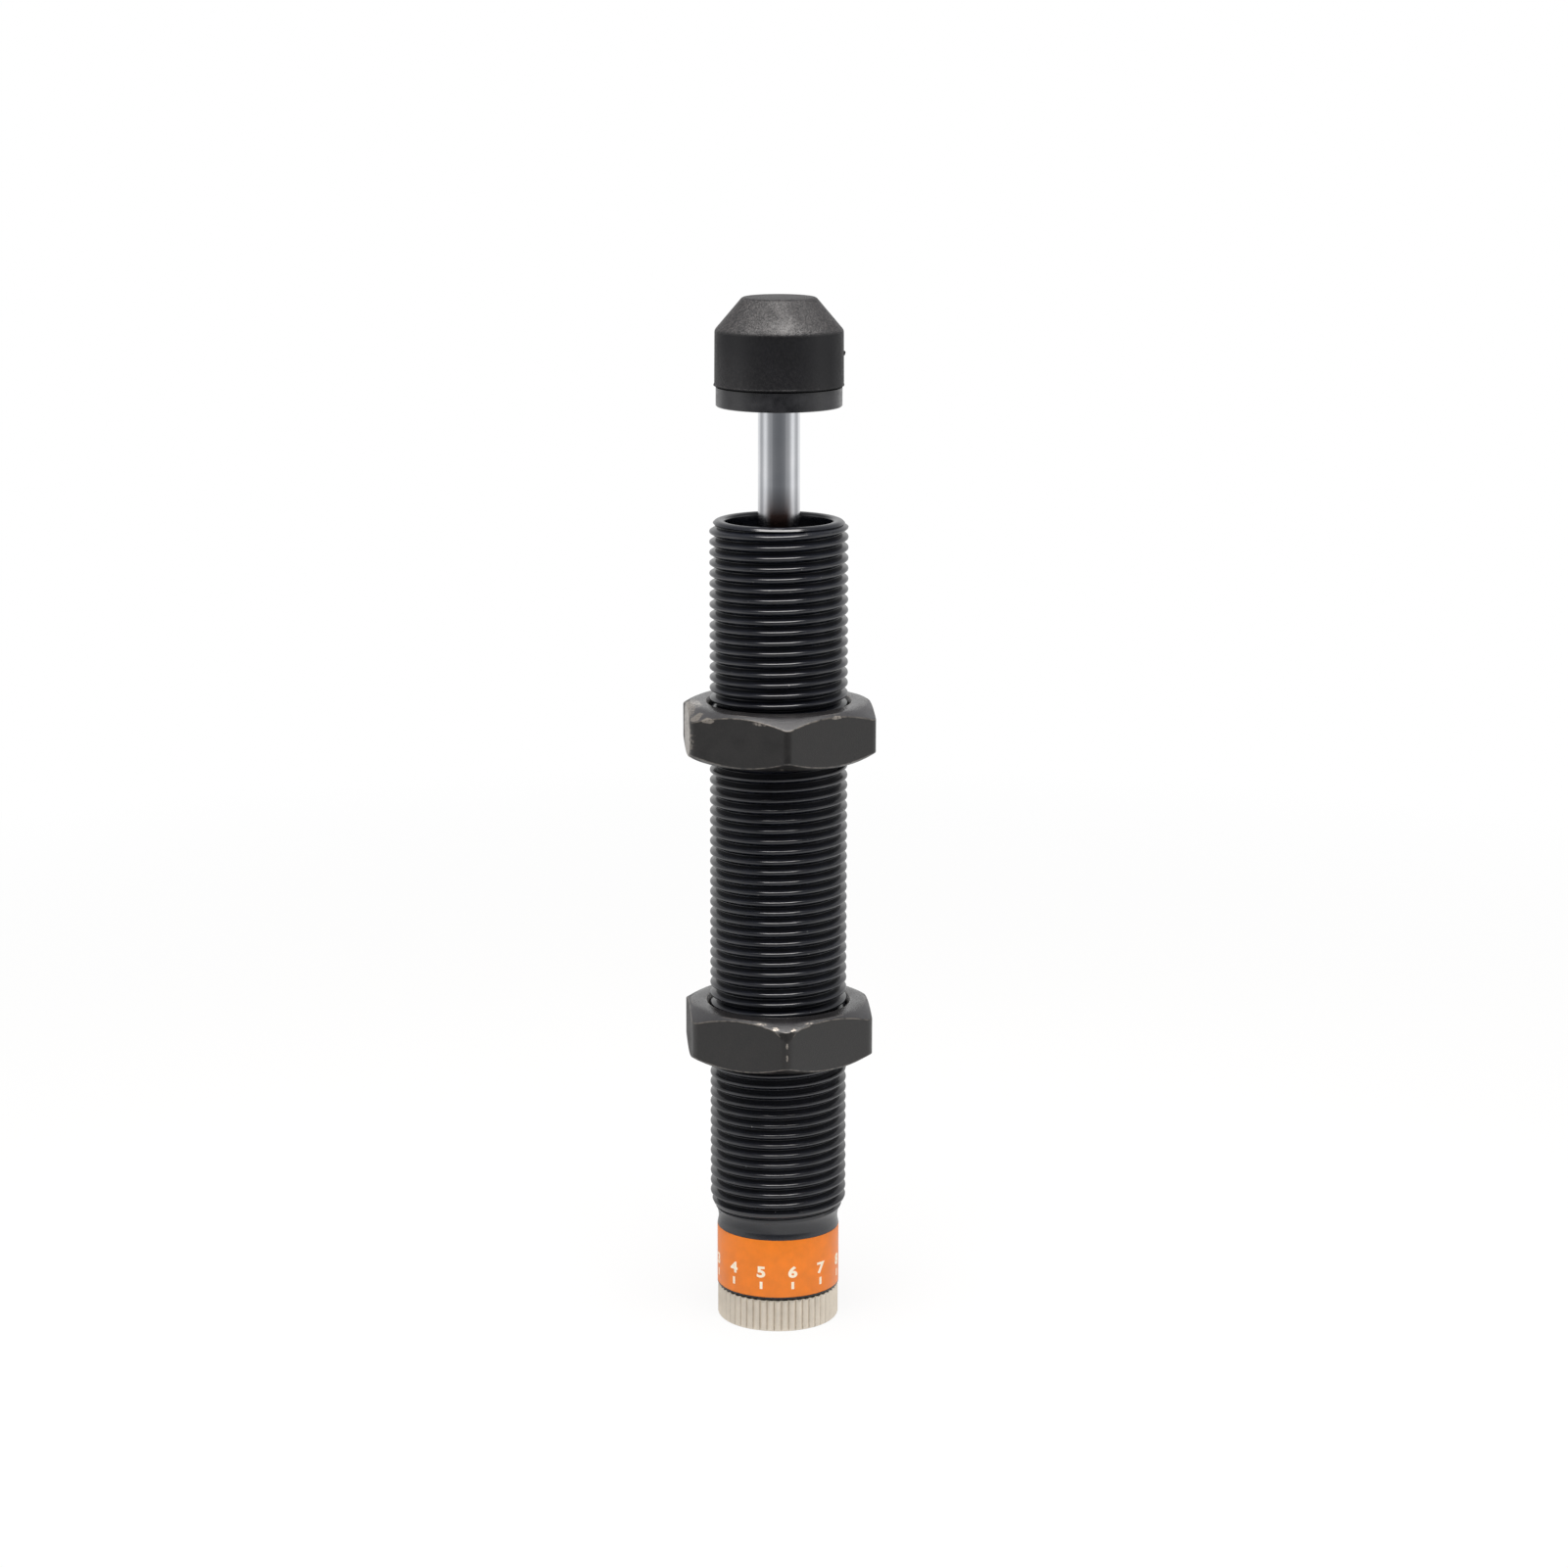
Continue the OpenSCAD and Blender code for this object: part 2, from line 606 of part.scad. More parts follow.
module adjuster_knob() {
    slot_depth = stop_pin_reach + stop_clear;
    slot_w = stop_pin_d + 2 * stop_clear;
    color([0.72, 0.68, 0.62]) difference() {
        intersection() {
            linear_extrude(knob_h) knurled_outline();
            turned([[0, 0], [knob_r - knob_chamfer, 0], [knob_r, knob_chamfer],
                    [knob_r, knob_h - knob_chamfer], [knob_r - knob_chamfer, knob_h], [0, knob_h]]);
        }
        translate([0, 0, -through]) cylinder(r = pocket_r, h = pocket_depth + through);
        keyed_stem(key_r + seat_gap, key_flat + seat_gap, pocket_depth - through, knob_h + through);
        // slot that runs against the stop pin at both ends of the dial
        translate([0, 0, knob_h - slot_depth]) rotate(stop_angle - dial_turn - stop_slack)
            rotate_extrude(angle = dial_turn + 2 * stop_slack)
            translate([stop_pin_orbit - slot_w / 2, 0]) square([slot_w, slot_depth + through]);
        // pointer notch, at the first figure of the dial
        rotate(dial_start) translate([knurl_root_r - 0.15, -pointer_w / 2, -through])
            cube([knurl_depth + 1, pointer_w, knob_h + 2 * through]);
    }
}

// round stem with one flat, which keys the knob to the shaft
module keyed_stem(r, flat, from, to) {
    intersection() {
        translate([0, 0, from]) cylinder(r = r, h = to - from);
        translate([-r - through, -r - through, from])
            cube([2 * (r + through), r + through + flat, to - from]);
    }
}

module knob_screw() {
    z = pocket_depth - screw_head_h;
    color([0.3, 0.3, 0.31]) difference() {
        turned([[0, z], [screw_head_r - 0.2, z], [screw_head_r, z + 0.2], [screw_head_r, pocket_depth],
                [screw_r - seat_gap, pocket_depth], [screw_r - seat_gap, pocket_depth + screw_len],
                [0, pocket_depth + screw_len]]);
        translate([0, 0, z - through])
            cylinder(r = screw_socket_af / 2 / cos(30), h = screw_socket_depth + through, $fn = 6);
    }
}

module adjuster_shaft() {
    groove_r = shaft_ring_r - shaft_cord / 2 - seat_gap;
    hole_top = pocket_depth + screw_len + 0.5;
    color([0.62, 0.62, 0.64]) difference() {
        union() {
            keyed_stem(key_r, key_flat, pocket_depth + bottom_gap, knob_h);
            turned([
                [0, knob_h], [stem_r, knob_h], [stem_r, shaft_groove_z], [groove_r, shaft_groove_z],
                [groove_r, shaft_groove_z + shaft_groove_w], [stem_r, shaft_groove_z + shaft_groove_w],
                [stem_r, flange_z], [sleeve_r, flange_z], [sleeve_r, sleeve_z], [0, sleeve_z]
            ]);
        }
        cylinder(r = screw_r, h = hole_top);
        tongues(tongue_w / 2 + run_gap, tube_r, sleeve_r + through, sleeve_z - tongue_h - bottom_gap,
                sleeve_z + through);
    }
}

module shaft_o_ring() {
    color([0.08, 0.08, 0.08]) o_ring(shaft_ring_r, shaft_cord, shaft_groove_z + shaft_groove_w / 2);
}

// two opposite blocks between two radii: the sleeve's drive tongues and the slots that take them
module tongues(half_w, inner_r, outer_r, from, to) {
    intersection() {
        ring(inner_r, outer_r, from, to - from);
        translate([-outer_r - through, -half_w, from]) cube([2 * (outer_r + through), 2 * half_w, to - from]);
    }
}

module metering_sleeve() {
    inner_r = tube_r + run_gap;
    color([0.66, 0.52, 0.3]) difference() {
        union() {
            ring(inner_r, sleeve_r, sleeve_z, sleeve_top_z - sleeve_z);
            tongues(tongue_w / 2, inner_r, sleeve_r, sleeve_z - tongue_h, sleeve_z + tiny);
        }
        // off-centre bore: turning it changes the gap in front of the orifices
        translate([0, metering_offset, metering_z])
            cylinder(r = metering_r, h = sleeve_top_z - 1.5 - metering_z);
        // windows on the wide side let the oil out to the annulus
        for (z = [metering_z + window_d, (metering_z + sleeve_top_z) / 2, sleeve_top_z - 1.5 - window_d])
            translate([0, 0, z]) rotate([-90, 0, 0]) cylinder(d = window_d, h = sleeve_r + through);
    }
}

// ---- lock nuts ----

module lock_nut(z, turn) {
    bore_r = thread_r + nut_gap;
    corner_r = nut_corner_d / 2;
    face_r = nut_face_d / 2;
    mouth_r = nut_mouth_d / 2;
    // chamfer down to the corners, and 45 degree countersinks
    chamfer_h = (corner_r - face_r) * tan(nut_chamfer);
    mouth_h = mouth_r - bore_r;
    color([0.22, 0.21, 0.2]) translate([0, 0, z]) rotate(turn - 90) intersection() {
        cylinder(r = nut_af / 2 / cos(30), h = nut_t, $fn = 6);
        turned([
            [mouth_r, 0], [face_r, 0], [corner_r, chamfer_h], [corner_r, nut_t - chamfer_h], [face_r, nut_t],
            [mouth_r, nut_t], [bore_r, nut_t - mouth_h], [bore_r, mouth_h]
        ]);
    }
}

module upper_lock_nut() {
    lock_nut(upper_nut_z, upper_nut_turn);
}

module lower_lock_nut() {
    lock_nut(lower_nut_z, lower_nut_turn);
}

threaded_body();
scale_label();
stop_pin();
retaining_ring();
seal_cover();
rod_wiper();
rod_seal();
rod_bearing();
bearing_o_ring();
accumulator_foam();
pressure_tube();
tube_plug();
thrust_washer();
return_spring();
piston_rod();
piston_head();
piston_nut();
cap_base();
bumper_cap();
check_ring();
adjuster_knob();
knob_screw();
adjuster_shaft();
shaft_o_ring();
metering_sleeve();
upper_lock_nut();
lower_lock_nut();
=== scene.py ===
import math

import bmesh
import bpy
from bpy.props import FloatProperty, FloatVectorProperty, IntProperty, PointerProperty
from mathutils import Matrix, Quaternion, Vector


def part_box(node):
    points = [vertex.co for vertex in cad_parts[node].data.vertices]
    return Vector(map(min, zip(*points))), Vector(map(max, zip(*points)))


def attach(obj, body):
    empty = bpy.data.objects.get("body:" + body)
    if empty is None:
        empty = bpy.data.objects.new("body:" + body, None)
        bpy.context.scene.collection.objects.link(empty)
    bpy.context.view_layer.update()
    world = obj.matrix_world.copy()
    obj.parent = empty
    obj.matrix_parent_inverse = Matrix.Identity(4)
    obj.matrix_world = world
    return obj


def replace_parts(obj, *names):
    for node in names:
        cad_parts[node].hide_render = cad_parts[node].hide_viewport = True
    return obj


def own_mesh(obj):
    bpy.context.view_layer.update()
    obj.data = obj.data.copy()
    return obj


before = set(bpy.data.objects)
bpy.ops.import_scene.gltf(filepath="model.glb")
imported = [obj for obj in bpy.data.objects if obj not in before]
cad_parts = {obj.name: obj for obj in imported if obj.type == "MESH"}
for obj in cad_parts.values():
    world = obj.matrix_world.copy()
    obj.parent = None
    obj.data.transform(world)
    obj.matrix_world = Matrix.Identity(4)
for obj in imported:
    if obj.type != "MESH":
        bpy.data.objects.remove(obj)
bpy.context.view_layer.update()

bl_info = {
    "name": "Industrial Shock Absorber",
    "version": (1, 0, 0),
    "blender": (4, 5, 0),
    "location": "View3D > Sidebar > Absorber",
    "description": "Builds the body, lock nuts, bumper, dial and studio of a shock absorber",
    "category": "Add Mesh",
}

MM = 0.001
DEGREE = math.radians(1)
# direction of the first dial figure, from +X and counter-clockwise seen from the rod end
FIRST_FIGURE = 102.3 * DEGREE
FRONT = -90 * DEGREE
COS_30 = math.cos(30 * DEGREE)
TURN = 2 * math.pi
# how near two points of a mesh count as one
WELD = 0.0001 * MM


def levels(node):
    """Lowest and highest Z of a node."""
    low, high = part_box(node)
    return low.z, high.z


def radius(node):
    """Largest radius of a round node about the main axis."""
    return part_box(node)[1].x


# ---- sizes and colours ----

def length(name, description, default):
    """Length property in metres."""
    return FloatProperty(name=name, description=description, default=default, min=0, unit="LENGTH",
                         precision=5)


def turn_size(name, description, degrees):
    """Angle property, from degrees."""
    return FloatProperty(name=name, description=description, default=degrees * DEGREE,
                         subtype="ANGLE")


def colour(name, description, default):
    """Colour property from an sRGB hex value."""
    return FloatVectorProperty(name=name, description=description, default=linear(default), size=3,
                               min=0, max=1, subtype="COLOR")


def linear(hex_value):
    """Linear RGB of an sRGB hex value such as "#E87722"."""
    shares = [int(hex_value[i:i + 2], 16) / 255 for i in (1, 3, 5)]
    return [s / 12.92 if s <= 0.04045 else ((s + 0.055) / 1.055) ** 2.4 for s in shares]


class BodySizes(bpy.types.PropertyGroup):
    """Threaded body"""
    pitch: length("Thread pitch", "Rise of the thread in one turn", 1.5 * MM)
    depth: length("Thread depth", "Height of the thread from root to crest", 0.92 * MM)
    crest: length("Crest width", "Width of the crest before it is rounded", 0.36 * MM)
    rounding: length("Crest rounding", "How far the paint rounds crests and roots", 0.17 * MM)
    front_crest: length("Top crest height", "Height of the topmost crest at the front", 116.97 * MM)
    runout: length("Run-out", "Length of the taper that ends the thread at the neck", 2.05 * MM)
    rim: length("Rim radius", "Outer radius of the plain rim above the thread", 9.39 * MM)
    lead: length("Lead", "Height of the plain rim above the thread", 0.65 * MM)
    chamfer: length("Rim chamfer", "Chamfer on the rim's outer edge", 0.3 * MM)
    crown: length("Crown", "How far the rim's face falls off to both of its edges", 0.2 * MM)
    notch: length("Notch", "Depth of the line turned under the rim", 0.15 * MM)
    neck: length("Neck radius", "Radius of the plain neck", radius("scale_label"))
    neck_height: length("Bare neck", "Height of the neck between label and thread", 2.45 * MM)
    undercut: length("Undercut", "How far the neck is turned in at half its height", 0.24 * MM)
    stem: length("Stem bore", "Radius of the bore for the adjuster stem", 3 * MM)
    end_wall: length("End wall", "Thickness of the closed end", 9.9 * MM)
    bore: length("Bore radius", "Radius of the bore round the cartridge", 7.4 * MM)
    wide_bore: length("Mouth radius", "Radius of the bore round the rod bearing", 7.65 * MM)
    paint: colour("Paint", "Dip paint on the body", "#11131A")


class NutSizes(bpy.types.PropertyGroup):
    """Lock nuts"""
    flats: length("Across flats", "Width across the upper nut's flats", 26.55 * MM)
    corners: length("Across corners", "Width across the upper nut's rounded corners", 30.26 * MM)
    lower_flats: length("Lower across flats", "Width across the lower nut's flats", 26.1 * MM)
    lower_corners: length("Lower across corners", "Width across the lower nut's corners", 29.6 * MM)
    ding: length("Ding", "How far the lower nut's front corner is knocked down", 1.15 * MM)
    face: length("Face diameter", "Diameter of the flat ring on each face", 25.1 * MM)
    chamfer: turn_size("Chamfer", "Slope of the chamfer below the face", 32)
    mouth: length("Mouth diameter", "Diameter of the countersink", 20.9 * MM)
    bore: length("Bore radius", "Radius that clears the body thread", 9.98 * MM)
    oxide: colour("Black oxide", "Oxide layer on the nuts", "#171514")
    # also painted over the upper nut's left side as the reflection of the bright side wall
    bare: colour("Bare steel", "Steel where the oxide is rubbed off", "#A39C94")


class BumperSizes(bpy.types.PropertyGroup):
    """Bumper cap"""
    nose: length("Nose length", "Length of the tapered nose", 4.6 * MM)
    strike: length("Strike radius", "Radius of the flat strike face", 5.2 * MM)
    groove: length("Groove", "Height of the groove at the foot", 0.24 * MM)
    rounding: length("Rounding", "Rounding of the nose's edges", 0.32 * MM)
    draft: length("Draft", "How much slimmer the side is than the foot", 0.05 * MM)
    flash: length("Flash", "How far the moulding flash stands out at the foot", 0.12 * MM)
    rubber: colour("Urethane", "Moulded black urethane", "#101013")


class DialSizes(bpy.types.PropertyGroup):
    """Dial label"""
    figures: IntProperty(name="Figures", description="Number of dial figures", default=10, min=2,
                         max=12)
    step: turn_size("Step", "Turn from one figure to the next", 30)
    figure_height: length("Figure height", "Height of a dial figure", 1.6 * MM)
    figure_stretch: FloatProperty(name="Figure stretch", default=1.25,
                                  description="How much broader the figures are cut")
    figure_foot: length("Figure foot", "Height of the figures' foot line", 8.37 * MM)
    offset: turn_size("Offset", "How far round the film is stuck on past the pointer", 1.8)
    tick_height: length("Tick height", "Height of a tick", 1.1 * MM)
    tick_width: length("Tick width", "Width of a tick", 0.42 * MM)
    tick_foot: length("Tick foot", "Height of the ticks' foot", 6.55 * MM)
    ink_height: length("Ink", "Thickness of the printed ink", 0.02 * MM)
    film: colour("Film", "Orange polyester film", "#F78419")
    ink: colour("Ink colour", "Cream screen-printing ink", "#FFF4DC")


class KnobSizes(bpy.types.PropertyGroup):
    """Adjuster knob"""
    ribs: IntProperty(name="Ribs", description="Number of knurl ribs", default=50, min=20, max=80)
    groove: length("Groove depth", "Depth of the knurl grooves", 0.3 * MM)
    chamfer: length("Chamfer", "Chamfer on both edges", 0.35 * MM)
    pocket: length("Pocket depth", "Depth of the pocket round the screw", 2.2 * MM)
    notch: length("Notch width", "Width of the pointer notch", 0.9 * MM)
    nickel: colour("Nickel", "Satin nickel plating", "#E0D6C7")


class SpringSizes(bpy.types.PropertyGroup):
    """Return spring"""
    turns: IntProperty(name="Turns", default=13, min=6, max=20,
                       description="Number of turns, with the closed ones at both ends")
    wire: length("Wire", "Diameter of the spring wire", 1.1 * MM)
    stroke: length("Stroke", "How far the rod presses the spring together", 16 * MM)
    seat_gap: length("Seat gap", "Play between the spring and its seat", 0.094 * MM)


class StageSizes(bpy.types.PropertyGroup):
    """Studio"""
    lens: FloatProperty(name="Lens", default=89.94,
                        description="Focal length of the camera in millimetres")
    distance: length("Distance", "Distance from the camera to the middle of the object", 563.6 * MM)
    elevation: turn_size("Elevation", "Height of the view above the horizon", 12)
    aim: length("Aim", "Height that the camera looks at", 79.9 * MM)
    aside: length("Aside", "How far the camera's aim lies to the right of the axis", 0.78 * MM)
    roll: turn_size("Roll", "Turn of the camera about its own view", 0.09)
    sheet: length("Sheet", "Radius of the paper sheet", 0.3)
    paper: colour("Paper", "White paper under the object", "#ECEBEA")


# ---- mesh tools ----

def eased(outline, reach, steps=3):
    """The outline with its inner corners turned into small curves.

    A third number in a point is that corner's own reach.
    """
    points = [Vector(outline[0])]
    for before, corner, after in zip(outline, outline[1:], outline[2:]):
        own_reach = corner[2] if len(corner) == 3 else reach
        before, corner, after = (Vector(p[:2]) for p in (before, corner, after))
        start, end = (corner + (p - corner).normalized()
                      * min(own_reach, 0.45 * (p - corner).length) for p in (before, after))
        for i in range(steps + 1):
            t = i / steps
            points.append(start.lerp(corner, t).lerp(corner.lerp(end, t), t))
    points.append(Vector(outline[-1]))
    return points


def turned(outline, angle):
    """Points of a turned outline at an angle about the main axis."""
    return [Vector((r * math.cos(angle), r * math.sin(angle), z)) for r, z in outline]


def angles(count):
    """Even angles over one turn, with the first again at the end, where the seam is welded."""
    return [TURN * i / count for i in range(count + 1)]


def skin(name, columns, body, material, capped=False, smooth=40 * DEGREE):
    """Solid over columns of points, each a ring, that end where they began or are capped."""
    mesh = bmesh.new()
    grid = [[mesh.verts.new(point) for point in column] for column in columns]
    for left, right in zip(grid, grid[1:]):
        rows = list(zip(left, right))
        for (a, b), (d, c) in zip(rows, rows[1:] + rows[:1]):
            mesh.faces.new((a, b, c, d))
    if capped:
        mesh.faces.new(grid[0])
        mesh.faces.new(reversed(grid[-1]))
    return solid(name, mesh, body, material, smooth)


def placed(name, data):
    """New object in the scene."""
    made = bpy.data.objects.new(name, data)
    bpy.context.scene.collection.objects.link(made)
    return made


def solid(name, mesh, body, material, smooth=40 * DEGREE):
    """Object of a bmesh, welded, shaded and riding on its body."""
    bmesh.ops.remove_doubles(mesh, verts=mesh.verts, dist=WELD)
    bmesh.ops.dissolve_degenerate(mesh, edges=mesh.edges, dist=WELD)
    if not mesh.faces:
        raise RuntimeError(f"{name}: these sizes leave no solid")
    bmesh.ops.recalc_face_normals(mesh, faces=mesh.faces)
    mark_edges(mesh)
    data = bpy.data.meshes.new(name)
    mesh.to_mesh(data)
    mesh.free()
    data.shade_smooth()
    data.set_sharp_from_angle(angle=smooth)
    data.materials.append(material)
    piece = placed(name, data)
    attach(piece, body)
    return piece


def mark_edges(mesh):
    """Marks the outer edges, which handling rubs bare, and the inner ones, where the knob's grooves
    get painted shade.
    """
    edge, corner = (mesh.verts.layers.float.new(name) for name in ("edge", "corner"))
    for vertex in mesh.verts:
        turns = [e.calc_face_angle_signed(0) for e in vertex.link_edges if e.is_manifold] or [0]
        vertex[edge] = (max(turns) / DEGREE - 10) / 4
        vertex[corner] = -min(turns) / (20 * DEGREE)


# ---- materials ----

def feed(tree, made, inputs):
    """Sets a node's input sockets, or links them where the value is a socket."""
    for key, value in inputs.items():
        if isinstance(value, bpy.types.NodeSocket):
            tree.links.new(value, made.inputs[key])
        else:
            made.inputs[key].default_value = value


def node(tree, kind, inputs=None, **settings):
    """Adds a node of a kind, sets its properties, and feeds its input sockets."""
    made = tree.nodes.new("ShaderNode" + kind)
    for key, value in settings.items():
        setattr(made, key, value)
    feed(tree, made, inputs or {})
    return made


def rgba(colour_value):
    """Four-channel colour of a linear RGB value."""
    return (*colour_value, 1.0)


def shade(colour_value, factor):
    """Linear colour made lighter or darker."""
    return [min(1.0, c * factor) for c in colour_value]


def start(name, settings):
    """New material with its tree, its surface shader and the object's own coordinates."""
    material = bpy.data.materials.new(name)
    material.use_nodes = True
    tree = material.node_tree
    surface = tree.nodes["Principled BSDF"]
    feed(tree, surface, settings)
    place = node(tree, "TexCoord").outputs["Object"]
    return material, tree, surface, place


def grain(tree, place, size, detail=4, stretch=(1, 1, 1), roughness=0.55):
    """Noise with blotches of about a size, longer along an axis where stretch is under 1."""
    mapped = node(tree, "Mapping", {"Vector": place, "Scale": stretch}).outputs["Vector"]
    return node(tree, "TexNoise", {"Vector": mapped, "Scale": 1 / size, "Detail": detail,
                                   "Roughness": roughness}).outputs["Fac"]


def between(tree, value, low, high, start_at=0.3, end_at=0.7):
    """A value's stretch from start_at to end_at, mapped to the range low to high."""
    return node(tree, "MapRange", {"Value": value, "From Min": start_at, "From Max": end_at,
                                   "To Min": low, "To Max": high}).outputs["Result"]


def mixed(tree, factor, first, second):
    """Colour between two colours, each a linear RGB value or a socket."""
    sides = [c if isinstance(c, bpy.types.NodeSocket) else rgba(c) for c in (first, second)]
    return node(tree, "Mix", {"Factor": factor, 6: sides[0], 7: sides[1]},
                data_type="RGBA").outputs[2]


def ramp(tree, value, stops):
    """Level that follows stops, each a place and a level from 0 to 1."""
    made = node(tree, "ValToRGB", {"Fac": value})
    elements = made.color_ramp.elements
    elements.remove(elements[1])
    elements[0].position, elements[0].color = stops[0][0], rgba([stops[0][1]] * 3)
    for place, level in stops[1:]:
        elements.new(place).color = rgba([level] * 3)
    return made.outputs["Color"]


def math_node(tree, operation, first, second):
    """Result of an arithmetic operation on two values or sockets."""
    return node(tree, "Math", {0: first, 1: second}, operation=operation).outputs["Value"]


def times(tree, first, second):
    """Product of two values or sockets."""
    return math_node(tree, "MULTIPLY", first, second)


def relief(tree, surface, height, depth):
    """Bump of a depth in metres on the surface's normal."""
    bump = node(tree, "Bump", {"Height": height, "Distance": depth, "Strength": 1.0})
    feed(tree, surface, {"Normal": bump.outputs["Normal"]})


def upward(tree):
    """How much a surface faces up, from -1 to 1."""
    return node(tree, "SeparateXYZ", {0: node(tree, "TexCoord").outputs["Normal"]}).outputs["Z"]


def dulled(tree, face_on, edge_on, start_at, end_at):
    """Gloss level that fades where a slightly rough skin is seen edge-on."""
    turned_away = node(tree, "LayerWeight", {"Blend": 0.5}).outputs["Facing"]
    return between(tree, turned_away, face_on, edge_on, start_at, end_at)


def rubbed(tree, place, mark, size, start_at, end_at):
    """Share of a mesh's mark, broken up by noise: finish rubbed off on edges and knocks, painted
    shade in the knob's grooves, and the painted reflection on the upper nut.
    """
    share = between(tree, node(tree, "Attribute", attribute_name=mark).outputs["Fac"], 0, 1, 0, 1)
    return between(tree, times(tree, share, grain(tree, place, size)), 0, 1, start_at, end_at)


def dip_painted_steel(sizes):
    """Black dip paint on steel: glossy, slightly cold and uneven, with chipped specks on crests."""
    material, tree, surface, place = start("dip_painted_steel", {"IOR": 1.62})
    cloud = grain(tree, place, 3 * MM)
    fine = grain(tree, place, 0.25 * MM)
    thin, full = shade(sizes.paint, 0.8), shade(sizes.paint, 1.5)
    painted = mixed(tree, between(tree, cloud, 0, 1), thin, full)
    # specks where the paint is chipped off a crest
    chips = rubbed(tree, place, "edge", 0.5 * MM, 0.7, 0.76)
    feed(tree, surface, {"Base Color": mixed(tree, chips, painted, linear("#8E8C8A")),
                         "Roughness": between(tree, fine, 0.12, 0.22),
                         "Specular IOR Level": dulled(tree, 0.5, 0.02, 0.48, 0.9)})
    relief(tree, surface, fine, 0.004 * MM)
    return material


def black_oxide_steel(sizes):
    """Hot-forged nut in black oxide: brownish black, uneven, with bare steel on its edges, painted
    top light and one painted reflection.
    """
    material, tree, surface, place = start("black_oxide_steel", {"IOR": 1.6})
    cloud = grain(tree, place, 2.2 * MM)
    fine = grain(tree, place, 0.18 * MM, detail=6)
    dark, light = shade(sizes.oxide, 0.75), shade(sizes.oxide, 1.5)
    oxide = mixed(tree, between(tree, cloud, 0, 1), dark, light)
    specks = between(tree, fine, 0, 0.6, 0.52, 0.72)
    speckled = mixed(tree, specks, oxide, shade(sizes.oxide, 2.6))
    # grey dust lies on the chamfers, and with it painted light from above on what faces up; the
    # flat ring on the face is pressed smooth and stays cleaner
    up = upward(tree)
    unwiped = times(tree, between(tree, up, 1, 0.4, 0.9, 0.97),
                    between(tree, fine, 0.4, 1, 0.35, 0.6))
    dust_and_top_light = times(tree, between(tree, up, 0, 0.6, 0.6, 0.85), unwiped)
    dusty_and_lit = mixed(tree, dust_and_top_light, speckled, linear("#46464A"))
    edges = rubbed(tree, place, "edge", 0.9 * MM, 0.35, 0.6)
    # knocked bare steel, and the upper nut's left side painted as bare steel for its reflection
    knocks_and_reflection = rubbed(tree, place, "knock", 0.35 * MM, 0.3, 0.5)
    bare = math_node(tree, "MAXIMUM", times(tree, edges, 0.4), knocks_and_reflection)
    pressed = between(tree, up, 1, 0.6, 0.9, 0.97)
    feed(tree, surface, {"Base Color": mixed(tree, bare, dusty_and_lit, sizes.bare), "Metallic": bare,
                         "Roughness": times(tree, between(tree, cloud, 0.32, 0.46), pressed),
                         "Specular IOR Level": dulled(tree, 0.5, 0.03, 0.73, 0.92)})
    relief(tree, surface, fine, 0.03 * MM)
    return material


def hard_chrome():
    """Ground and hard-chromed rod: bright, cool, blurred lengthwise, with oil and a painted
    reflection of the dark mouth at its foot.
    """
    material, tree, surface, place = start("hard_chrome", {
        "Metallic": 1.0, "Anisotropic": 0.8, "Anisotropic Rotation": 0.25})
    round_rod = node(tree, "Tangent", direction_type="RADIAL", axis="Z")
    lines = grain(tree, place, 0.05 * MM, detail=3, stretch=(0.03, 0.03, 1))
    cloud = grain(tree, place, 4 * MM)
    chrome = mixed(tree, between(tree, cloud, 0, 1), linear("#D3D5D9"), linear("#DEDFE2"))
    # the wiper leaves a brown film of oil on the last few millimetres; darker in front and behind,
    # it is also a painted reflection of the dark mouth
    rim = levels("threaded_body")[1]
    parts = node(tree, "SeparateXYZ", {0: place})
    aside = math_node(tree, "ABSOLUTE", parts.outputs["X"], 0)
    film = times(tree, between(tree, parts.outputs["Z"], 1, 0, rim + 0.8 * MM, rim + 5 * MM),
                 between(tree, aside, 1, 0.3, 1.1 * MM, 2.1 * MM))
    polish = between(tree, lines, 0.08, 0.13)
    feed(tree, surface, {"Tangent": round_rod.outputs["Tangent"],
                         "Base Color": mixed(tree, film, chrome, linear("#54423E")),
                         "Roughness": math_node(tree, "ADD", polish, times(tree, film, 0.08))})
    return material


def blackened_turned_steel():
    """Turned steel disc, chemically blackened: dark grey with fine lathe lines."""
    material, tree, surface, place = start("blackened_turned_steel", {"IOR": 1.6})
    lines = grain(tree, place, 0.12 * MM, detail=3, stretch=(0.04, 0.04, 1))
    cloud = grain(tree, place, 1.6 * MM)
    steel = mixed(tree, between(tree, cloud, 0, 1), linear("#161619"), linear("#2B2B2E"))
    wear = times(tree, between(tree, cloud, 0.7, 1.2), between(tree, lines, 0.3, 0.42))
    feed(tree, surface, {"Base Color": steel, "Roughness": wear})
    relief(tree, surface, lines, 0.003 * MM)
    return material


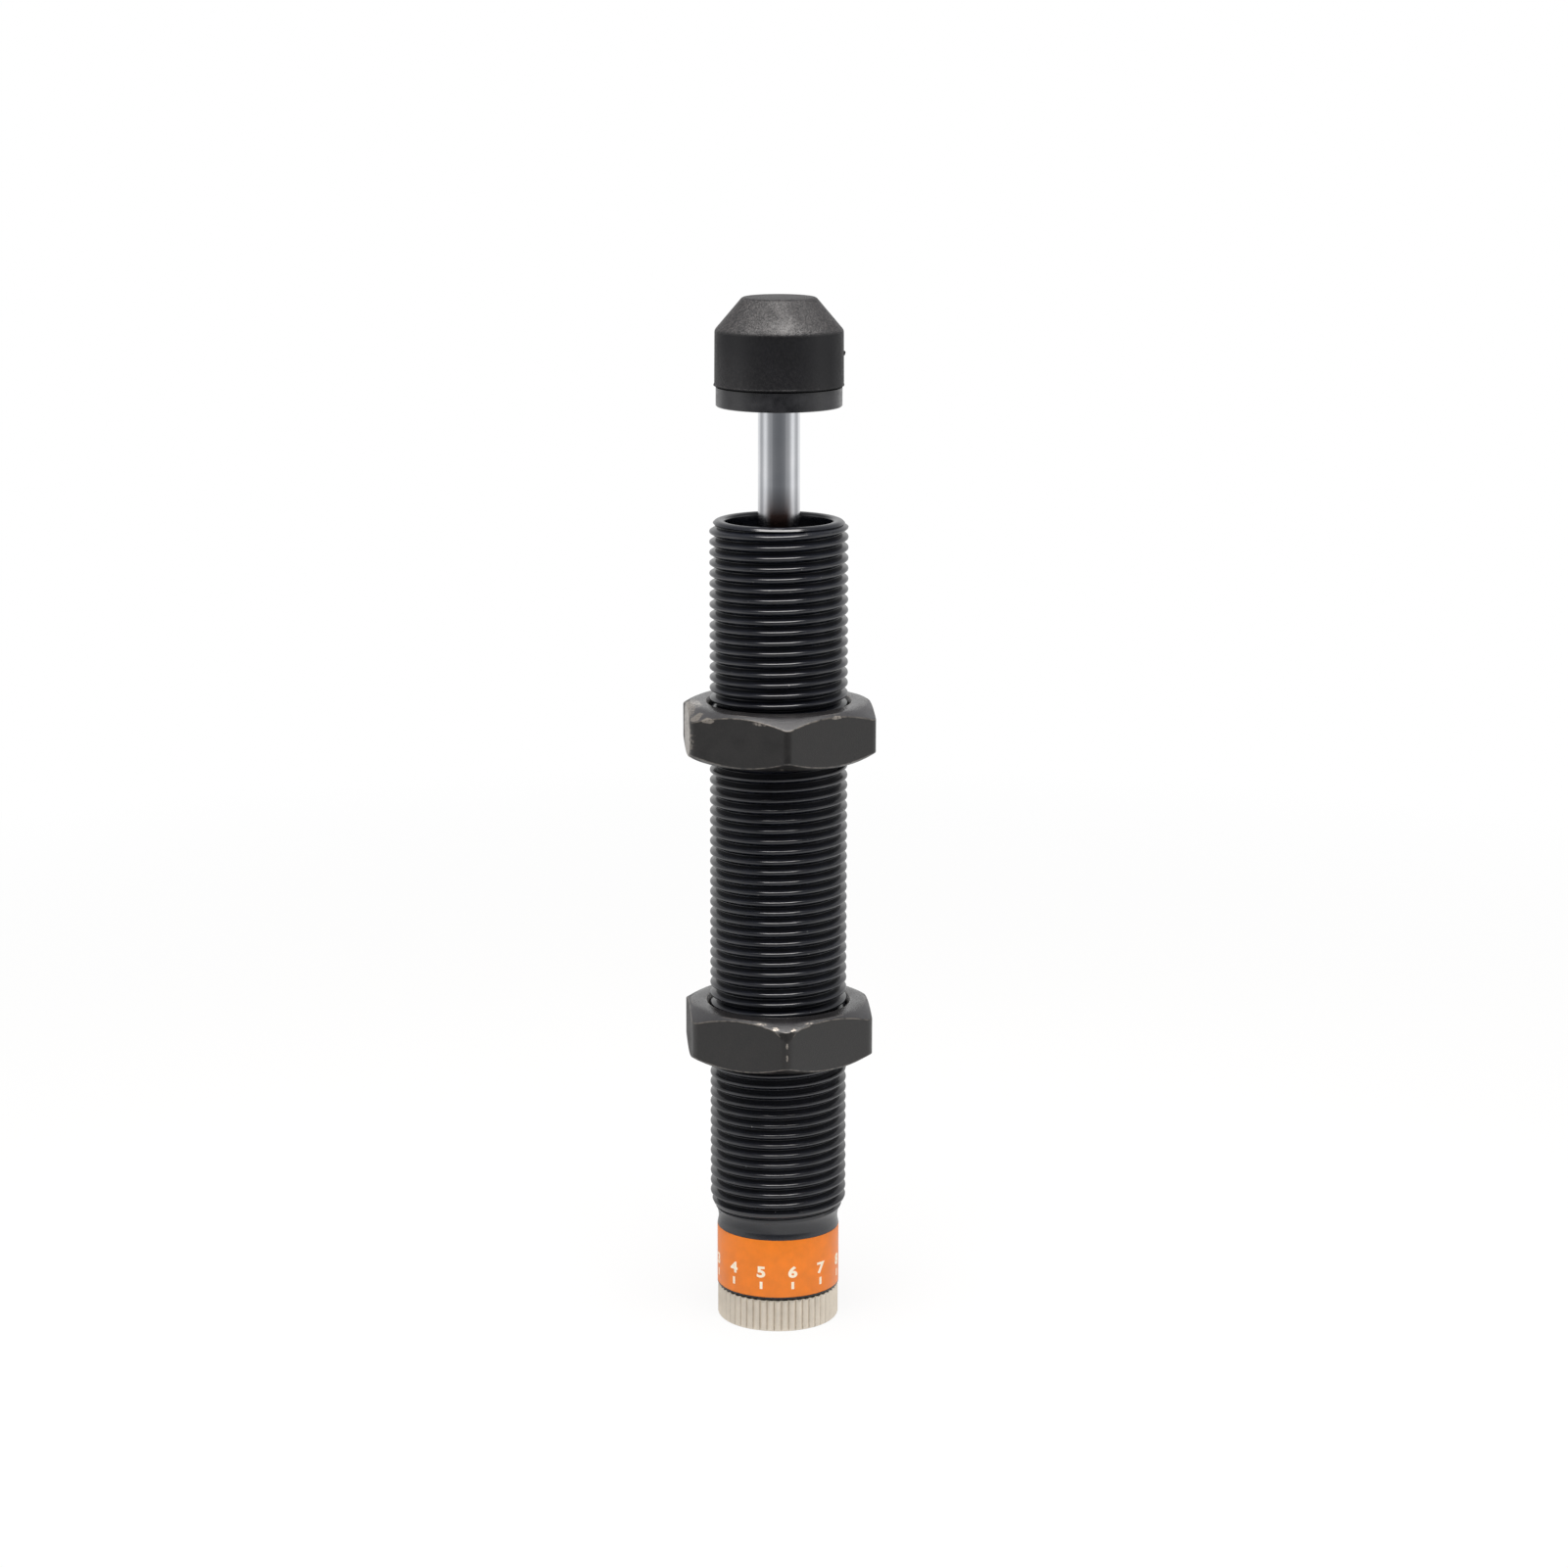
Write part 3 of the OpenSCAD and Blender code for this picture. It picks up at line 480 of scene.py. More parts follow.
def moulded_urethane(sizes):
    """Moulded black polyurethane: matte, with a fine sandy skin and faint grey dust that also
    paints the light from above on the cone.
    """
    material, tree, surface, place = start("moulded_urethane", {"IOR": 1.5})
    # drawn coarser than the real skin of 0.1 mm, which is too fine to show
    sand = grain(tree, place, 0.42 * MM, detail=6, roughness=0.68)
    cloud = grain(tree, place, 2.5 * MM)
    dark, light = shade(sizes.rubber, 0.85), shade(sizes.rubber, 1.3)
    base = mixed(tree, between(tree, cloud, 0, 1), dark, light)
    # dust settles on the cone, and its grey specks also paint the light from above there; the
    # strike face is wiped clean by the load
    up = upward(tree)
    settled_and_lit = times(tree, between(tree, up, 0.04, 1, 0.1, 0.6),
                    between(tree, up, 1, 0.4, 0.7, 0.95))
    specks = times(tree, settled_and_lit, between(tree, sand, 0.05, 0.5, 0.42, 0.72))
    # the side is rubbed smooth and dull, the cone keeps its sheen
    sheen = times(tree, between(tree, up, 0.38, 0.75, 0.1, 0.6), dulled(tree, 1, 0.25, 0.2, 0.65))
    feed(tree, surface, {"Base Color": mixed(tree, specks, base, linear("#6A6666")),
                         "Roughness": between(tree, sand, 0.36, 0.52), "Specular IOR Level": sheen})
    patches = times(tree, settled_and_lit, between(tree, cloud, 0.4, 1.3))
    relief(tree, surface, times(tree, sand, patches), 0.3 * MM)
    return material


def printed_film(sizes):
    """Orange polyester film with a satin over-laminate, slightly uneven in tone."""
    material, tree, surface, place = start("orange_polyester_film", {"IOR": 1.45})
    cloud = grain(tree, place, 1.8 * MM)
    fibre = grain(tree, place, 0.12 * MM)
    tone = mixed(tree, between(tree, cloud, 0, 1), shade(sizes.film, 0.9), shade(sizes.film, 1.06))
    film = mixed(tree, between(tree, fibre, 0, 0.25), tone, shade(sizes.film, 0.8))
    feed(tree, surface, {"Base Color": film, "Roughness": between(tree, cloud, 0.32, 0.45)})
    relief(tree, surface, fibre, 0.002 * MM)
    return material


def printing_ink(sizes):
    """Cream screen-printing ink: matte and slightly thin in places."""
    material, tree, surface, place = start("screen_printing_ink", {"IOR": 1.5})
    thin = grain(tree, place, 0.25 * MM)
    ink = mixed(tree, between(tree, thin, 0, 0.3, 0.5, 0.8), sizes.ink, linear("#F3C79A"))
    feed(tree, surface, {"Base Color": ink, "Roughness": between(tree, thin, 0.45, 0.6)})
    return material


def satin_nickel(sizes):
    """Nickel-plated knurled knob: warm, satin, with painted shade in the grooves and bright rib
    tops.
    """
    material, tree, surface, place = start("satin_nickel_plating", {"Metallic": 1.0})
    fine = grain(tree, place, 0.15 * MM)
    cloud = grain(tree, place, 2 * MM)
    warm, pale = shade(sizes.nickel, 0.92), shade(sizes.nickel, 1.05)
    plated = mixed(tree, between(tree, cloud, 0, 1), warm, pale)
    # painted shade darkens the inner corners of the knurl grooves
    painted_groove_shade = times(tree, rubbed(tree, place, "corner", 0.6 * MM, 0.1, 0.6), 0.4)
    feed(tree, surface, {"Base Color": mixed(tree, painted_groove_shade, plated, shade(sizes.nickel, 0.4)),
                         "Roughness": between(tree, fine, 0.4, 0.55)})
    relief(tree, surface, fine, 0.006 * MM)
    return material


def inner_metal(name, light, dark, rough, line=0.1):
    """Machined metal of a hidden piece: fine tool lines round the axis and slightly uneven tone."""
    material, tree, surface, place = start(name, {"Metallic": 1.0})
    lines = grain(tree, place, line * MM, detail=3, stretch=(0.05, 0.05, 1))
    cloud = grain(tree, place, 2 * MM)
    tone = mixed(tree, between(tree, cloud, 0, 1), linear(dark), linear(light))
    feed(tree, surface, {"Base Color": tone,
                         "Roughness": between(tree, lines, rough - 0.06, rough + 0.08)})
    relief(tree, surface, lines, 0.004 * MM)
    return material


def inner_polymer(name, light, dark, rough, skin_grain, depth):
    """Rubber, plastic or foam of a hidden piece: its skin's grain and slightly uneven tone."""
    material, tree, surface, place = start(name, {"IOR": 1.52})
    sand = grain(tree, place, skin_grain * MM, detail=5)
    tone = mixed(tree, between(tree, sand, 0, 1), linear(dark), linear(light))
    feed(tree, surface, {"Base Color": tone,
                         "Roughness": between(tree, sand, rough - 0.08, rough + 0.08)})
    relief(tree, surface, sand, depth * MM)
    return material


def finish_nodes(material, *nodes):
    """Gives CAD nodes a material in place of their plain one."""
    for name in nodes:
        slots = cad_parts[name].data.materials
        slots.clear()
        slots.append(material)


# ---- threaded body ----

def thread_form(sizes):
    """Height and share of the depth along one pitch, from the middle of a root to the next."""
    flank = sizes.depth * math.tan(30 * DEGREE)
    half_root = (sizes.pitch - sizes.crest) / 2 - flank
    corners = [(0, 0), (half_root, 0), (half_root + flank, 1),
               (sizes.pitch - half_root - flank, 1), (sizes.pitch - half_root, 0), (sizes.pitch, 0)]
    outline = eased([(z, share * sizes.depth) for z, share in corners], sizes.rounding, steps=2)
    return [(z, height / sizes.depth) for z, height in outline[:-1]]


def thread_rows(sizes, angle, low, high, crest_radius):
    """Outline of the thread at an angle: the helix, tapered at the neck, chamfered at the rim."""
    turn = angle / TURN
    root = crest_radius - sizes.depth
    front_turn = (FRONT / TURN) % 1
    # how fast the run-out rises, and the slope of the chamfer at the rim
    runout_curve, rim_slope = 0.85, 1.7
    # the root under the topmost crest of the front
    top_root = sizes.front_crest - sizes.pitch / 2 + sizes.pitch * (turn - front_turn)
    turns = math.ceil((high - low) / sizes.pitch) + 2
    form = thread_form(sizes)
    rows = []
    for k in range(-turns, 3):
        for rise, share in form:
            z = top_root + k * sizes.pitch + rise
            if z <= low:
                rows.append((sizes.neck, low))
            elif z >= high:
                rows.append((sizes.rim - sizes.notch, high))
            else:
                risen = ((z - low) / sizes.runout) ** runout_curve
                taper = sizes.neck + (crest_radius - sizes.neck) * risen
                start_cone = sizes.rim - sizes.notch + rim_slope * (high - z)
                rows.append((min(root + share * sizes.depth, taper, start_cone), z))
    return rows


def body_mesh(sizes, material):
    """Body with its helical thread, neck, label seat, rim and stepped bore."""
    low, high = levels("threaded_body")
    label_low, label_high = levels("scale_label")
    ring_low, ring_high = levels("retaining_ring")
    flange = low + sizes.end_wall
    seat = sizes.neck - 0.2 * MM
    bearing = levels("accumulator_foam")[1] + 0.02 * MM
    thread_low = label_high + sizes.neck_height
    waist = sizes.neck - sizes.undercut
    edge = 0.12 * MM
    neck = eased([(sizes.stem, flange), (sizes.stem, low), (sizes.neck, low),
                  (sizes.neck, label_low), (seat, label_low), (seat, label_high),
                  (sizes.neck, label_high), (waist, (label_high + thread_low) / 2, 0.5 * MM),
                  (sizes.neck, thread_low)], edge)
    groove = sizes.wide_bore + 0.4 * MM
    rim_foot = high - sizes.lead
    shoulder = high - sizes.crown
    rim_and_bores = eased([
        (sizes.rim - sizes.notch, rim_foot), (sizes.rim, rim_foot + sizes.notch),
        (sizes.rim, shoulder - sizes.chamfer), (sizes.rim - sizes.chamfer, shoulder),
        ((sizes.rim + sizes.wide_bore) / 2, high, 0.5 * MM),
        (sizes.wide_bore, shoulder, 0.3 * MM), (sizes.wide_bore, ring_high), (groove, ring_high),
        (groove, ring_low), (sizes.wide_bore, ring_low), (sizes.wide_bore, bearing),
        (sizes.bore, bearing), (sizes.bore, flange)], edge)
    columns = []
    for angle in angles(144):
        thread = thread_rows(sizes, angle, thread_low, rim_foot, radius("threaded_body"))
        columns.append(turned(neck + thread + rim_and_bores, angle))
    return skin("body_thread", columns, "housing", material)


class ABSORBER_OT_body(bpy.types.Operator):
    """Build the body tube with its right-hand thread"""
    bl_idname = "absorber.body"
    bl_label = "Threaded Body"

    def execute(self, context):
        sizes = context.scene.absorber_body
        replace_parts(body_mesh(sizes, dip_painted_steel(sizes)), "threaded_body")
        return {"FINISHED"}


# ---- lock nuts ----

def nut_columns(sizes, node_name, turn, flats, corners, ding):
    """Columns of a hexagon nut with chamfers, countersinks and one knocked corner."""
    low, high = levels(node_name)
    half_flat = flats / 2
    face, mouth = sizes.face / 2, sizes.mouth / 2
    if not flats < corners < flats / COS_30:
        raise ValueError(f"{node_name}: the corners don't suit the flats")
    # radius of the rounding that brings the sharp corners in to the width across corners
    sharp = half_flat / COS_30
    rounding = (sharp - corners / 2) / (1 / COS_30 - 1)
    centre = sharp - rounding / COS_30
    # angle from a flat's middle to where the rounding begins
    flat_end = 30 * DEGREE - math.atan2(rounding * math.sin(30 * DEGREE),
                                        centre + rounding * COS_30)
    reach, dome, side_margin = 0.16 * MM, 1.2 * MM, 0.4 * MM
    # how far the knock reaches round the corner, and its steep facet low in the chamfer
    knock_sweep, facet_width, facet_share = 7 * DEGREE, 0.35 * MM, 0.4
    middle = (low + high) / 2
    slope = math.tan(sizes.chamfer)
    columns = []
    for side in range(6):
        for offset in nut_angles():
            if abs(offset) > flat_end:
                rounded = centre * math.cos(30 * DEGREE - abs(offset))
                radius_here = rounded + math.sqrt(max(0.0, rounding ** 2 - centre ** 2
                                                      + rounded ** 2))
            else:
                radius_here = half_flat / math.cos(offset)
            drop = (radius_here - face) * slope
            angle = turn + side * 60 * DEGREE + 30 * DEGREE + offset
            from_corner = abs((angle - turn + math.pi) % TURN - math.pi)
            knocked = ding * max(0.0, 1 - from_corner / knock_sweep)
            facet = min(facet_width, facet_share * (radius_here - face))
            start, end = low + drop + side_margin, high - drop - knocked - side_margin
            # rows up the side, for the marks that it carries
            side_rows = [(radius_here, start + (end - start) * i / 8) for i in range(9)]
            outline = [(sizes.bore, middle), (sizes.bore, low + mouth - sizes.bore), (mouth, low),
                       (face, low, dome), (radius_here, low + drop), *side_rows,
                       (radius_here, high - drop - knocked),
                       (radius_here - facet, high - drop + facet * slope), (face, high, dome),
                       (mouth, high), (sizes.bore, high - mouth + sizes.bore), (sizes.bore, middle)]
            columns.append(turned(eased(outline, reach)[:-1], FRONT + angle))
    return columns + columns[:1]


def nut_angles():
    """Angles across one flat, closer together at its corners, without the last corner itself."""
    inner = [i * 2 * DEGREE for i in range(-13, 14)]
    outer = [27 * DEGREE + i * 0.5 * DEGREE for i in range(6)]
    return [-30 * DEGREE] + [-a for a in reversed(outer)] + inner + outer


def knock(piece, front, knocks_and_reflection):
    """Marks where a nut is knocked bare, and where a reflection is painted as bare steel, from a
    table of knocks.
    """
    # the bore and the faces' inner rings carry no marks
    marked_from = 11 * MM
    low, high = (f(v.co.z for v in piece.data.vertices) for f in (min, max))
    layer = piece.data.attributes.new("knock", "FLOAT", "POINT")
    for vertex, mark in zip(piece.data.vertices, layer.data):
        away = math.atan2(vertex.co.y, vertex.co.x) - front
        away = ((away + math.pi) % TURN - math.pi) / DEGREE
        share = (vertex.co.z - low) / (high - low)
        if vertex.co.xy.length > marked_from:
            mark.value = max(
                depth * (1 - ((away - turn) / width) ** 2 - ((share - height) / reach) ** 2)
                for turn, width, height, reach, depth in knocks_and_reflection)


# turn from the front corner and half width in degrees, then height, reach and depth as shares
# the first upper entry is no knock: it paints the bright side wall's reflection as bare steel over
# the upper nut's left side
UPPER_KNOCKS_AND_REFLECTION = [(-84, 32, 0.5, 0.7, 1.7), (-60, 5, 0.88, 0.08, 2.0), (-50, 5, 0.86, 0.06, 2.0),
                (33, 6, 0.93, 0.05, 1.2), (-16, 9, 0.88, 0.05, 0.9), (-3, 2, 0.07, 0.05, 1.5)]
LOWER_KNOCKS = [(-6, 3.5, 0.9, 0.05, 1.3), (4, 3, 0.88, 0.05, 1.2), (-15, 9, 0.955, 0.03, 0.9),
                (14, 8, 0.955, 0.03, 0.9), (0.2, 0.9, 0.61, 0.07, 1.8),
                (0.2, 0.8, 0.39, 0.08, 1.8)]


class ABSORBER_OT_lock_nuts(bpy.types.Operator):
    """Build both hexagon lock nuts with rubbed edges"""
    bl_idname = "absorber.lock_nuts"
    bl_label = "Lock Nuts"

    def execute(self, context):
        sizes = context.scene.absorber_nuts
        material = black_oxide_steel(sizes)
        upper = (5 * DEGREE, sizes.flats, sizes.corners, 0)
        lower = (4.8 * DEGREE, sizes.lower_flats, sizes.lower_corners, sizes.ding)
        for name, body, shape, knocks_and_reflection in (("upper_lock_nut", "upper_nut", upper, UPPER_KNOCKS_AND_REFLECTION),
                                          ("lower_lock_nut", "lower_nut", lower, LOWER_KNOCKS)):
            piece = skin(name.replace("lock", "hex"), nut_columns(sizes, name, *shape), body,
                         material)
            knock(piece, FRONT + shape[0], knocks_and_reflection)
            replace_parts(piece, name)
        return {"FINISHED"}


# ---- bumper, cap base and rod ----

def bumper_mesh(sizes, material):
    """Bumper with its tapered nose, foot groove, anchor cavity and moulding flash."""
    low, high = levels("bumper_cap")
    anchor_high = levels("cap_base")[1]
    side = radius("bumper_cap")
    shoulder = high - sizes.nose
    inset = side - 0.55 * MM
    # room for the anchor on the cap base: its neck, and its head above
    neck_radius, head_radius, head_height = 4.51 * MM, 5.51 * MM, 1.42 * MM
    flash_side = 195 * DEGREE
    columns = []
    for angle in angles(120):
        # thin flash where the mould halves meet at the foot, widest on one side
        widening = max(0.0, math.cos(angle - flash_side)) ** 4
        flash = sizes.flash * (0.4 + 0.6 * widening)
        foot = low + sizes.groove
        walls = [(neck_radius, low), (inset, low), (inset, foot), (side + flash, foot),
                 (side + flash, foot + 0.12 * MM), (side, foot + 0.3 * MM)]
        nose = [walls[-1], (side - sizes.draft, shoulder), (sizes.strike, high), (0, high)]
        head_low = anchor_high - head_height
        cavity = [(0, anchor_high), (head_radius, anchor_high), (head_radius, head_low),
                  (neck_radius, head_low)]
        outline = eased(walls, 0.04 * MM, steps=2)[:-1] + eased(nose, sizes.rounding)
        columns.append(turned(outline + [Vector(p) for p in cavity], angle))
    return skin("bumper_moulding", columns, "rod", material)


def gate_nub(sizes, material):
    """Stub left where the moulding gate was twisted off, low on the bumper's side."""
    side = radius("bumper_cap")
    height = levels("bumper_cap")[1] - 7.85 * MM
    # how flat the stub is, and the waves of its torn skin per metre
    flatness, upright_waves, cross_waves = 0.55, 9000, 7000
    mesh = bmesh.new()
    bmesh.ops.create_icosphere(mesh, subdivisions=3, radius=0.34 * MM)
    for vertex in mesh.verts:
        x, y, z = vertex.co
        wobble = 1 + 0.2 * math.sin(upright_waves * z) * math.cos(cross_waves * y)
        vertex.co = Vector((side + x * flatness * wobble, y * wobble, height + z))
    return solid("bumper_gate_nub", mesh, "rod", material)


class ABSORBER_OT_bumper(bpy.types.Operator):
    """Build the urethane bumper and finish the rod and the cap base"""
    bl_idname = "absorber.bumper"
    bl_label = "Bumper and Rod"

    def execute(self, context):
        sizes = context.scene.absorber_bumper
        material = moulded_urethane(sizes)
        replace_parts(bumper_mesh(sizes, material), "bumper_cap")
        gate_nub(sizes, material)
        finish_nodes(hard_chrome(), "piston_rod")
        finish_nodes(blackened_turned_steel(), "cap_base")
        return {"FINISHED"}


# ---- dial label ----

def label_mesh(sizes, material):
    """Film wrapped round the neck, with a butt joint between the last figure and the first."""
    low, high = levels("scale_label")
    outer = radius("scale_label")
    inner = outer - 0.18 * MM
    joint = FIRST_FIGURE - 45 * DEGREE
    half_gap = 0.6 * DEGREE
    middle = (low + high) / 2
    outline = eased([(inner, middle), (inner, low), (outer, low), (outer, high), (inner, high),
                     (inner, middle)], 0.04 * MM, steps=2)[:-1]
    count = 140
    sweep = TURN - 2 * half_gap
    columns = [turned(outline, joint + half_gap + sweep * i / count) for i in range(count + 1)]
    return skin("dial_label", columns, "housing", material, capped=True)


# height of a figure as a share of its type size
CAP_SHARE = 0.72


def figure_outline(text, height, stretch):
    """Flat mesh of a dial figure, centred on its foot line, in the XZ plane."""
    curve = bpy.data.curves.new("figure", "FONT")
    curve.body = text
    curve.size = height / CAP_SHARE
    curve.align_x = "CENTER"
    curve.offset = 0.05 * height
    curve.resolution_u = 6
    letter = placed("figure", curve)
    graph = bpy.context.evaluated_depsgraph_get()
    flat = bpy.data.meshes.new_from_object(letter.evaluated_get(graph))
    bpy.data.objects.remove(letter)
    bpy.data.curves.remove(curve)
    mesh = bmesh.new()
    mesh.from_mesh(flat)
    bpy.data.meshes.remove(flat)
    bmesh.ops.remove_doubles(mesh, verts=mesh.verts, dist=0.001 * MM)
    bmesh.ops.scale(mesh, vec=(stretch, 1, 1), verts=mesh.verts)
    # cut upright into strips, so that the figure bends round the neck
    for i in range(-4, 5):
        bmesh.ops.bisect_plane(mesh, geom=mesh.verts[:] + mesh.edges[:] + mesh.faces[:],
                               plane_co=(i * height / 10, 0, 0), plane_no=(1, 0, 0))
    return mesh


def wrapped(mesh, angle, foot, inner, outer):
    """Lays a flat figure on the neck: thickens it from the inner radius to the outer one."""
    made = bmesh.ops.extrude_face_region(mesh, geom=mesh.faces[:])
    raised = {v for v in made["geom"] if isinstance(v, bmesh.types.BMVert)}
    for vertex in mesh.verts:
        r = outer if vertex in raised else inner
        turn = angle + vertex.co.x / outer
        vertex.co = Vector((r * math.cos(turn), r * math.sin(turn), foot + vertex.co.y))


def print_mesh(sizes, material):
    """Printed figures with a tick below each."""
    outer = radius("scale_label")
    inks = bmesh.new()
    for i in range(sizes.figures):
        angle = FIRST_FIGURE + sizes.offset + i * sizes.step
        tick = bmesh.new()
        bmesh.ops.create_grid(tick, x_segments=2, y_segments=1, size=0.5)
        for vertex in tick.verts:
            x, y, _ = vertex.co
            vertex.co = Vector((x * sizes.tick_width, (y + 0.5) * sizes.tick_height, 0))
        figure = figure_outline(str(i), sizes.figure_height, sizes.figure_stretch)
        for flat, foot in ((tick, sizes.tick_foot), (figure, sizes.figure_foot)):
            wrapped(flat, angle, foot, outer - 0.01 * MM, outer + sizes.ink_height)
            part = bpy.data.meshes.new("ink")
            flat.to_mesh(part)
            flat.free()
            inks.from_mesh(part)
            bpy.data.meshes.remove(part)
    return solid("dial_print", inks, "housing", material, smooth=30 * DEGREE)


class ABSORBER_OT_dial(bpy.types.Operator):
    """Build the dial label with plain figures 0 to 9"""
    bl_idname = "absorber.dial"
    bl_label = "Dial Label"

    def execute(self, context):
        sizes = context.scene.absorber_dial
        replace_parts(label_mesh(sizes, printed_film(sizes)), "scale_label")
        print_mesh(sizes, printing_ink(sizes))
        return {"FINISHED"}


# ---- adjuster knob ----

def knob_mesh(sizes, material):
    """Knob with straight round-topped ribs, chamfers, pointer notch, screw pocket and stop slot."""
    low, high = levels("adjuster_knob")
    outer = radius("adjuster_knob")
    root = outer - sizes.groove
    pocket, stem = 3.1 * MM, 2.42 * MM
    # slot for the stop pin, which stands at an angle, and its play at both ends of the dial's turn
    slot_inner, slot_outer, slot_depth = 5.4 * MM, 7.2 * MM, 1.45 * MM
    pin, dial_turn, play = 200, 270, 8.2
    slot_start, slot_sweep = (pin - dial_turn - play) * DEGREE, (dial_turn + 2 * play) * DEGREE
    middle = high / 2
    c = sizes.chamfer
    bottom = eased([(stem, middle), (stem, sizes.pocket), (pocket, sizes.pocket), (pocket, low),
                    (outer - c, low), (outer, low + c), (outer, middle)], 0.12 * MM)
    top = eased([(outer, middle), (outer, high - c / 2), (outer - c / 2, high), (slot_outer, high)],
                0.2 * MM)
    columns = []
    for angle in angles(sizes.ribs * 12):
        # narrow grooves between broad round ribs
        rib = (0.5 - 0.5 * math.cos(sizes.ribs * angle)) ** 0.6
        limit = root + sizes.groove * rib
        from_notch = (angle - FIRST_FIGURE + math.pi) % TURN - math.pi
        if abs(from_notch) * outer < sizes.notch / 2:
            limit = root - 0.15 * MM
        in_slot = (angle - slot_start) % TURN < slot_sweep
        floor = high - slot_depth if in_slot else high
        ends = [(slot_outer, floor), (slot_inner, floor), (slot_inner, high), (stem, high)]
        outline = [(min(r, limit), z) for r, z in bottom + top[1:]] + ends
        columns.append(turned(outline, angle))
    return skin("knurled_knob", columns, "adjuster", material, smooth=50 * DEGREE)


class ABSORBER_OT_knob(bpy.types.Operator):
    """Build the knurled adjuster knob"""
    bl_idname = "absorber.knob"
    bl_label = "Adjuster Knob"

    def execute(self, context):
        sizes = context.scene.absorber_knob
        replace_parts(knob_mesh(sizes, satin_nickel(sizes)), "adjuster_knob")
        return {"FINISHED"}


# ---- return spring ----

def coil_height(sizes, turn, length_there):
    """Height of the wire's centre line at a turn: the end turns are closed and almost flat."""
    # rise of a closed end turn, and how high the wire's middle stands on a ground end
    closed, ground = 1.05 * sizes.wire, 0.3 * sizes.wire
    last = sizes.turns - 1
    open_share = min(1.0, max(0.0, (turn - 1) / (last - 1)))
    return (ground + min(turn, 1) * closed + max(0, turn - last) * closed
            + open_share * (length_there - 2 * ground - 2 * closed))


def spring_mesh(sizes, material):
    """Coil of round wire with both ends ground flat, built at one length, though the real spring
    shortens as the rod goes in.
    """
    low, high = levels("return_spring")
    middle = radius("return_spring") - sizes.wire / 2
    steps, facets = 36, 12
    rings = []
    for i in range(sizes.turns * steps + 1):
        around = TURN * i / steps
        centre = low + coil_height(sizes, i / steps, high - low)
        ring = [(middle + math.cos(angle) * sizes.wire / 2,
                 min(high, max(low, centre + math.sin(angle) * sizes.wire / 2)))
                for angle in angles(facets)[:-1]]
        rings.append(turned(ring, around))
    return skin("return_coil", rings, "housing", material, capped=True)


class ABSORBER_OT_return_spring(bpy.types.Operator):
    """Build the return spring, which the piston presses against the tube plug"""
    bl_idname = "absorber.return_spring"
    bl_label = "Return Spring"

    def execute(self, context):
        sizes = context.scene.absorber_spring
        steel = inner_metal("phosphated_spring_steel", "#5A5A5C", "#38383A", 0.42)
        coil = spring_mesh(sizes, steel)
        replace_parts(coil, "return_spring")
        finish_nodes(steel, "retaining_ring")
        low, high = levels("return_spring")
        seat = low - sizes.seat_gap
        rested = high + sizes.seat_gap - seat
        if rested <= sizes.stroke:
            raise ValueError("the stroke is longer than the spring")
        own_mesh(coil)
        return {"FINISHED"}


# ---- inner pieces ----

# name, light tone, dark tone, roughness, and the width of the tool lines in mm where it is finer
METALS = {
    ("blackened_cover_steel", "#4A4A4D", "#2C2C2E", 0.45): ("seal_cover", "knob_screw"),
    ("ground_steel", "#B4B5B8", "#94959A", 0.25, 0.06): (
        "pressure_tube", "adjuster_shaft", "tube_plug", "stop_pin"),
    ("machined_steel", "#8C8D90", "#6F7074", 0.35): ("piston_head", "piston_nut"),
    ("grey_cast_iron", "#5C5956", "#3C3A38", 0.5): ("check_ring",),
    ("bearing_bronze", "#C49A5A", "#9C7438", 0.34): ("rod_bearing", "metering_sleeve"),
}
# name, light tone, dark tone, roughness, and the skin's grain and depth in mm
POLYMERS = {
    ("nitrile_rubber", "#1E1E1E", "#0E0E0E", 0.5, 0.15, 0.006): (
        "rod_wiper", "bearing_o_ring", "shaft_o_ring"),
    ("seal_polyurethane", "#33476E", "#22304E", 0.38, 0.3, 0.004): ("rod_seal",),
    ("closed_cell_foam", "#4A4A4E", "#242426", 0.85, 0.5, 0.12): ("accumulator_foam",),
    ("acetal", "#E8E6DE", "#D6D3C8", 0.42, 0.2, 0.003): ("thrust_washer",),
}


class ABSORBER_OT_inner_pieces(bpy.types.Operator):
    """Finish the pieces inside the body and the small fixings"""
    bl_idname = "absorber.inner_pieces"
    bl_label = "Inner Pieces"

    def execute(self, context):
        for build, table in ((inner_metal, METALS), (inner_polymer, POLYMERS)):
            for look, nodes in table.items():
                finish_nodes(build(*look), *nodes)
        return {"FINISHED"}


# ---- studio ----

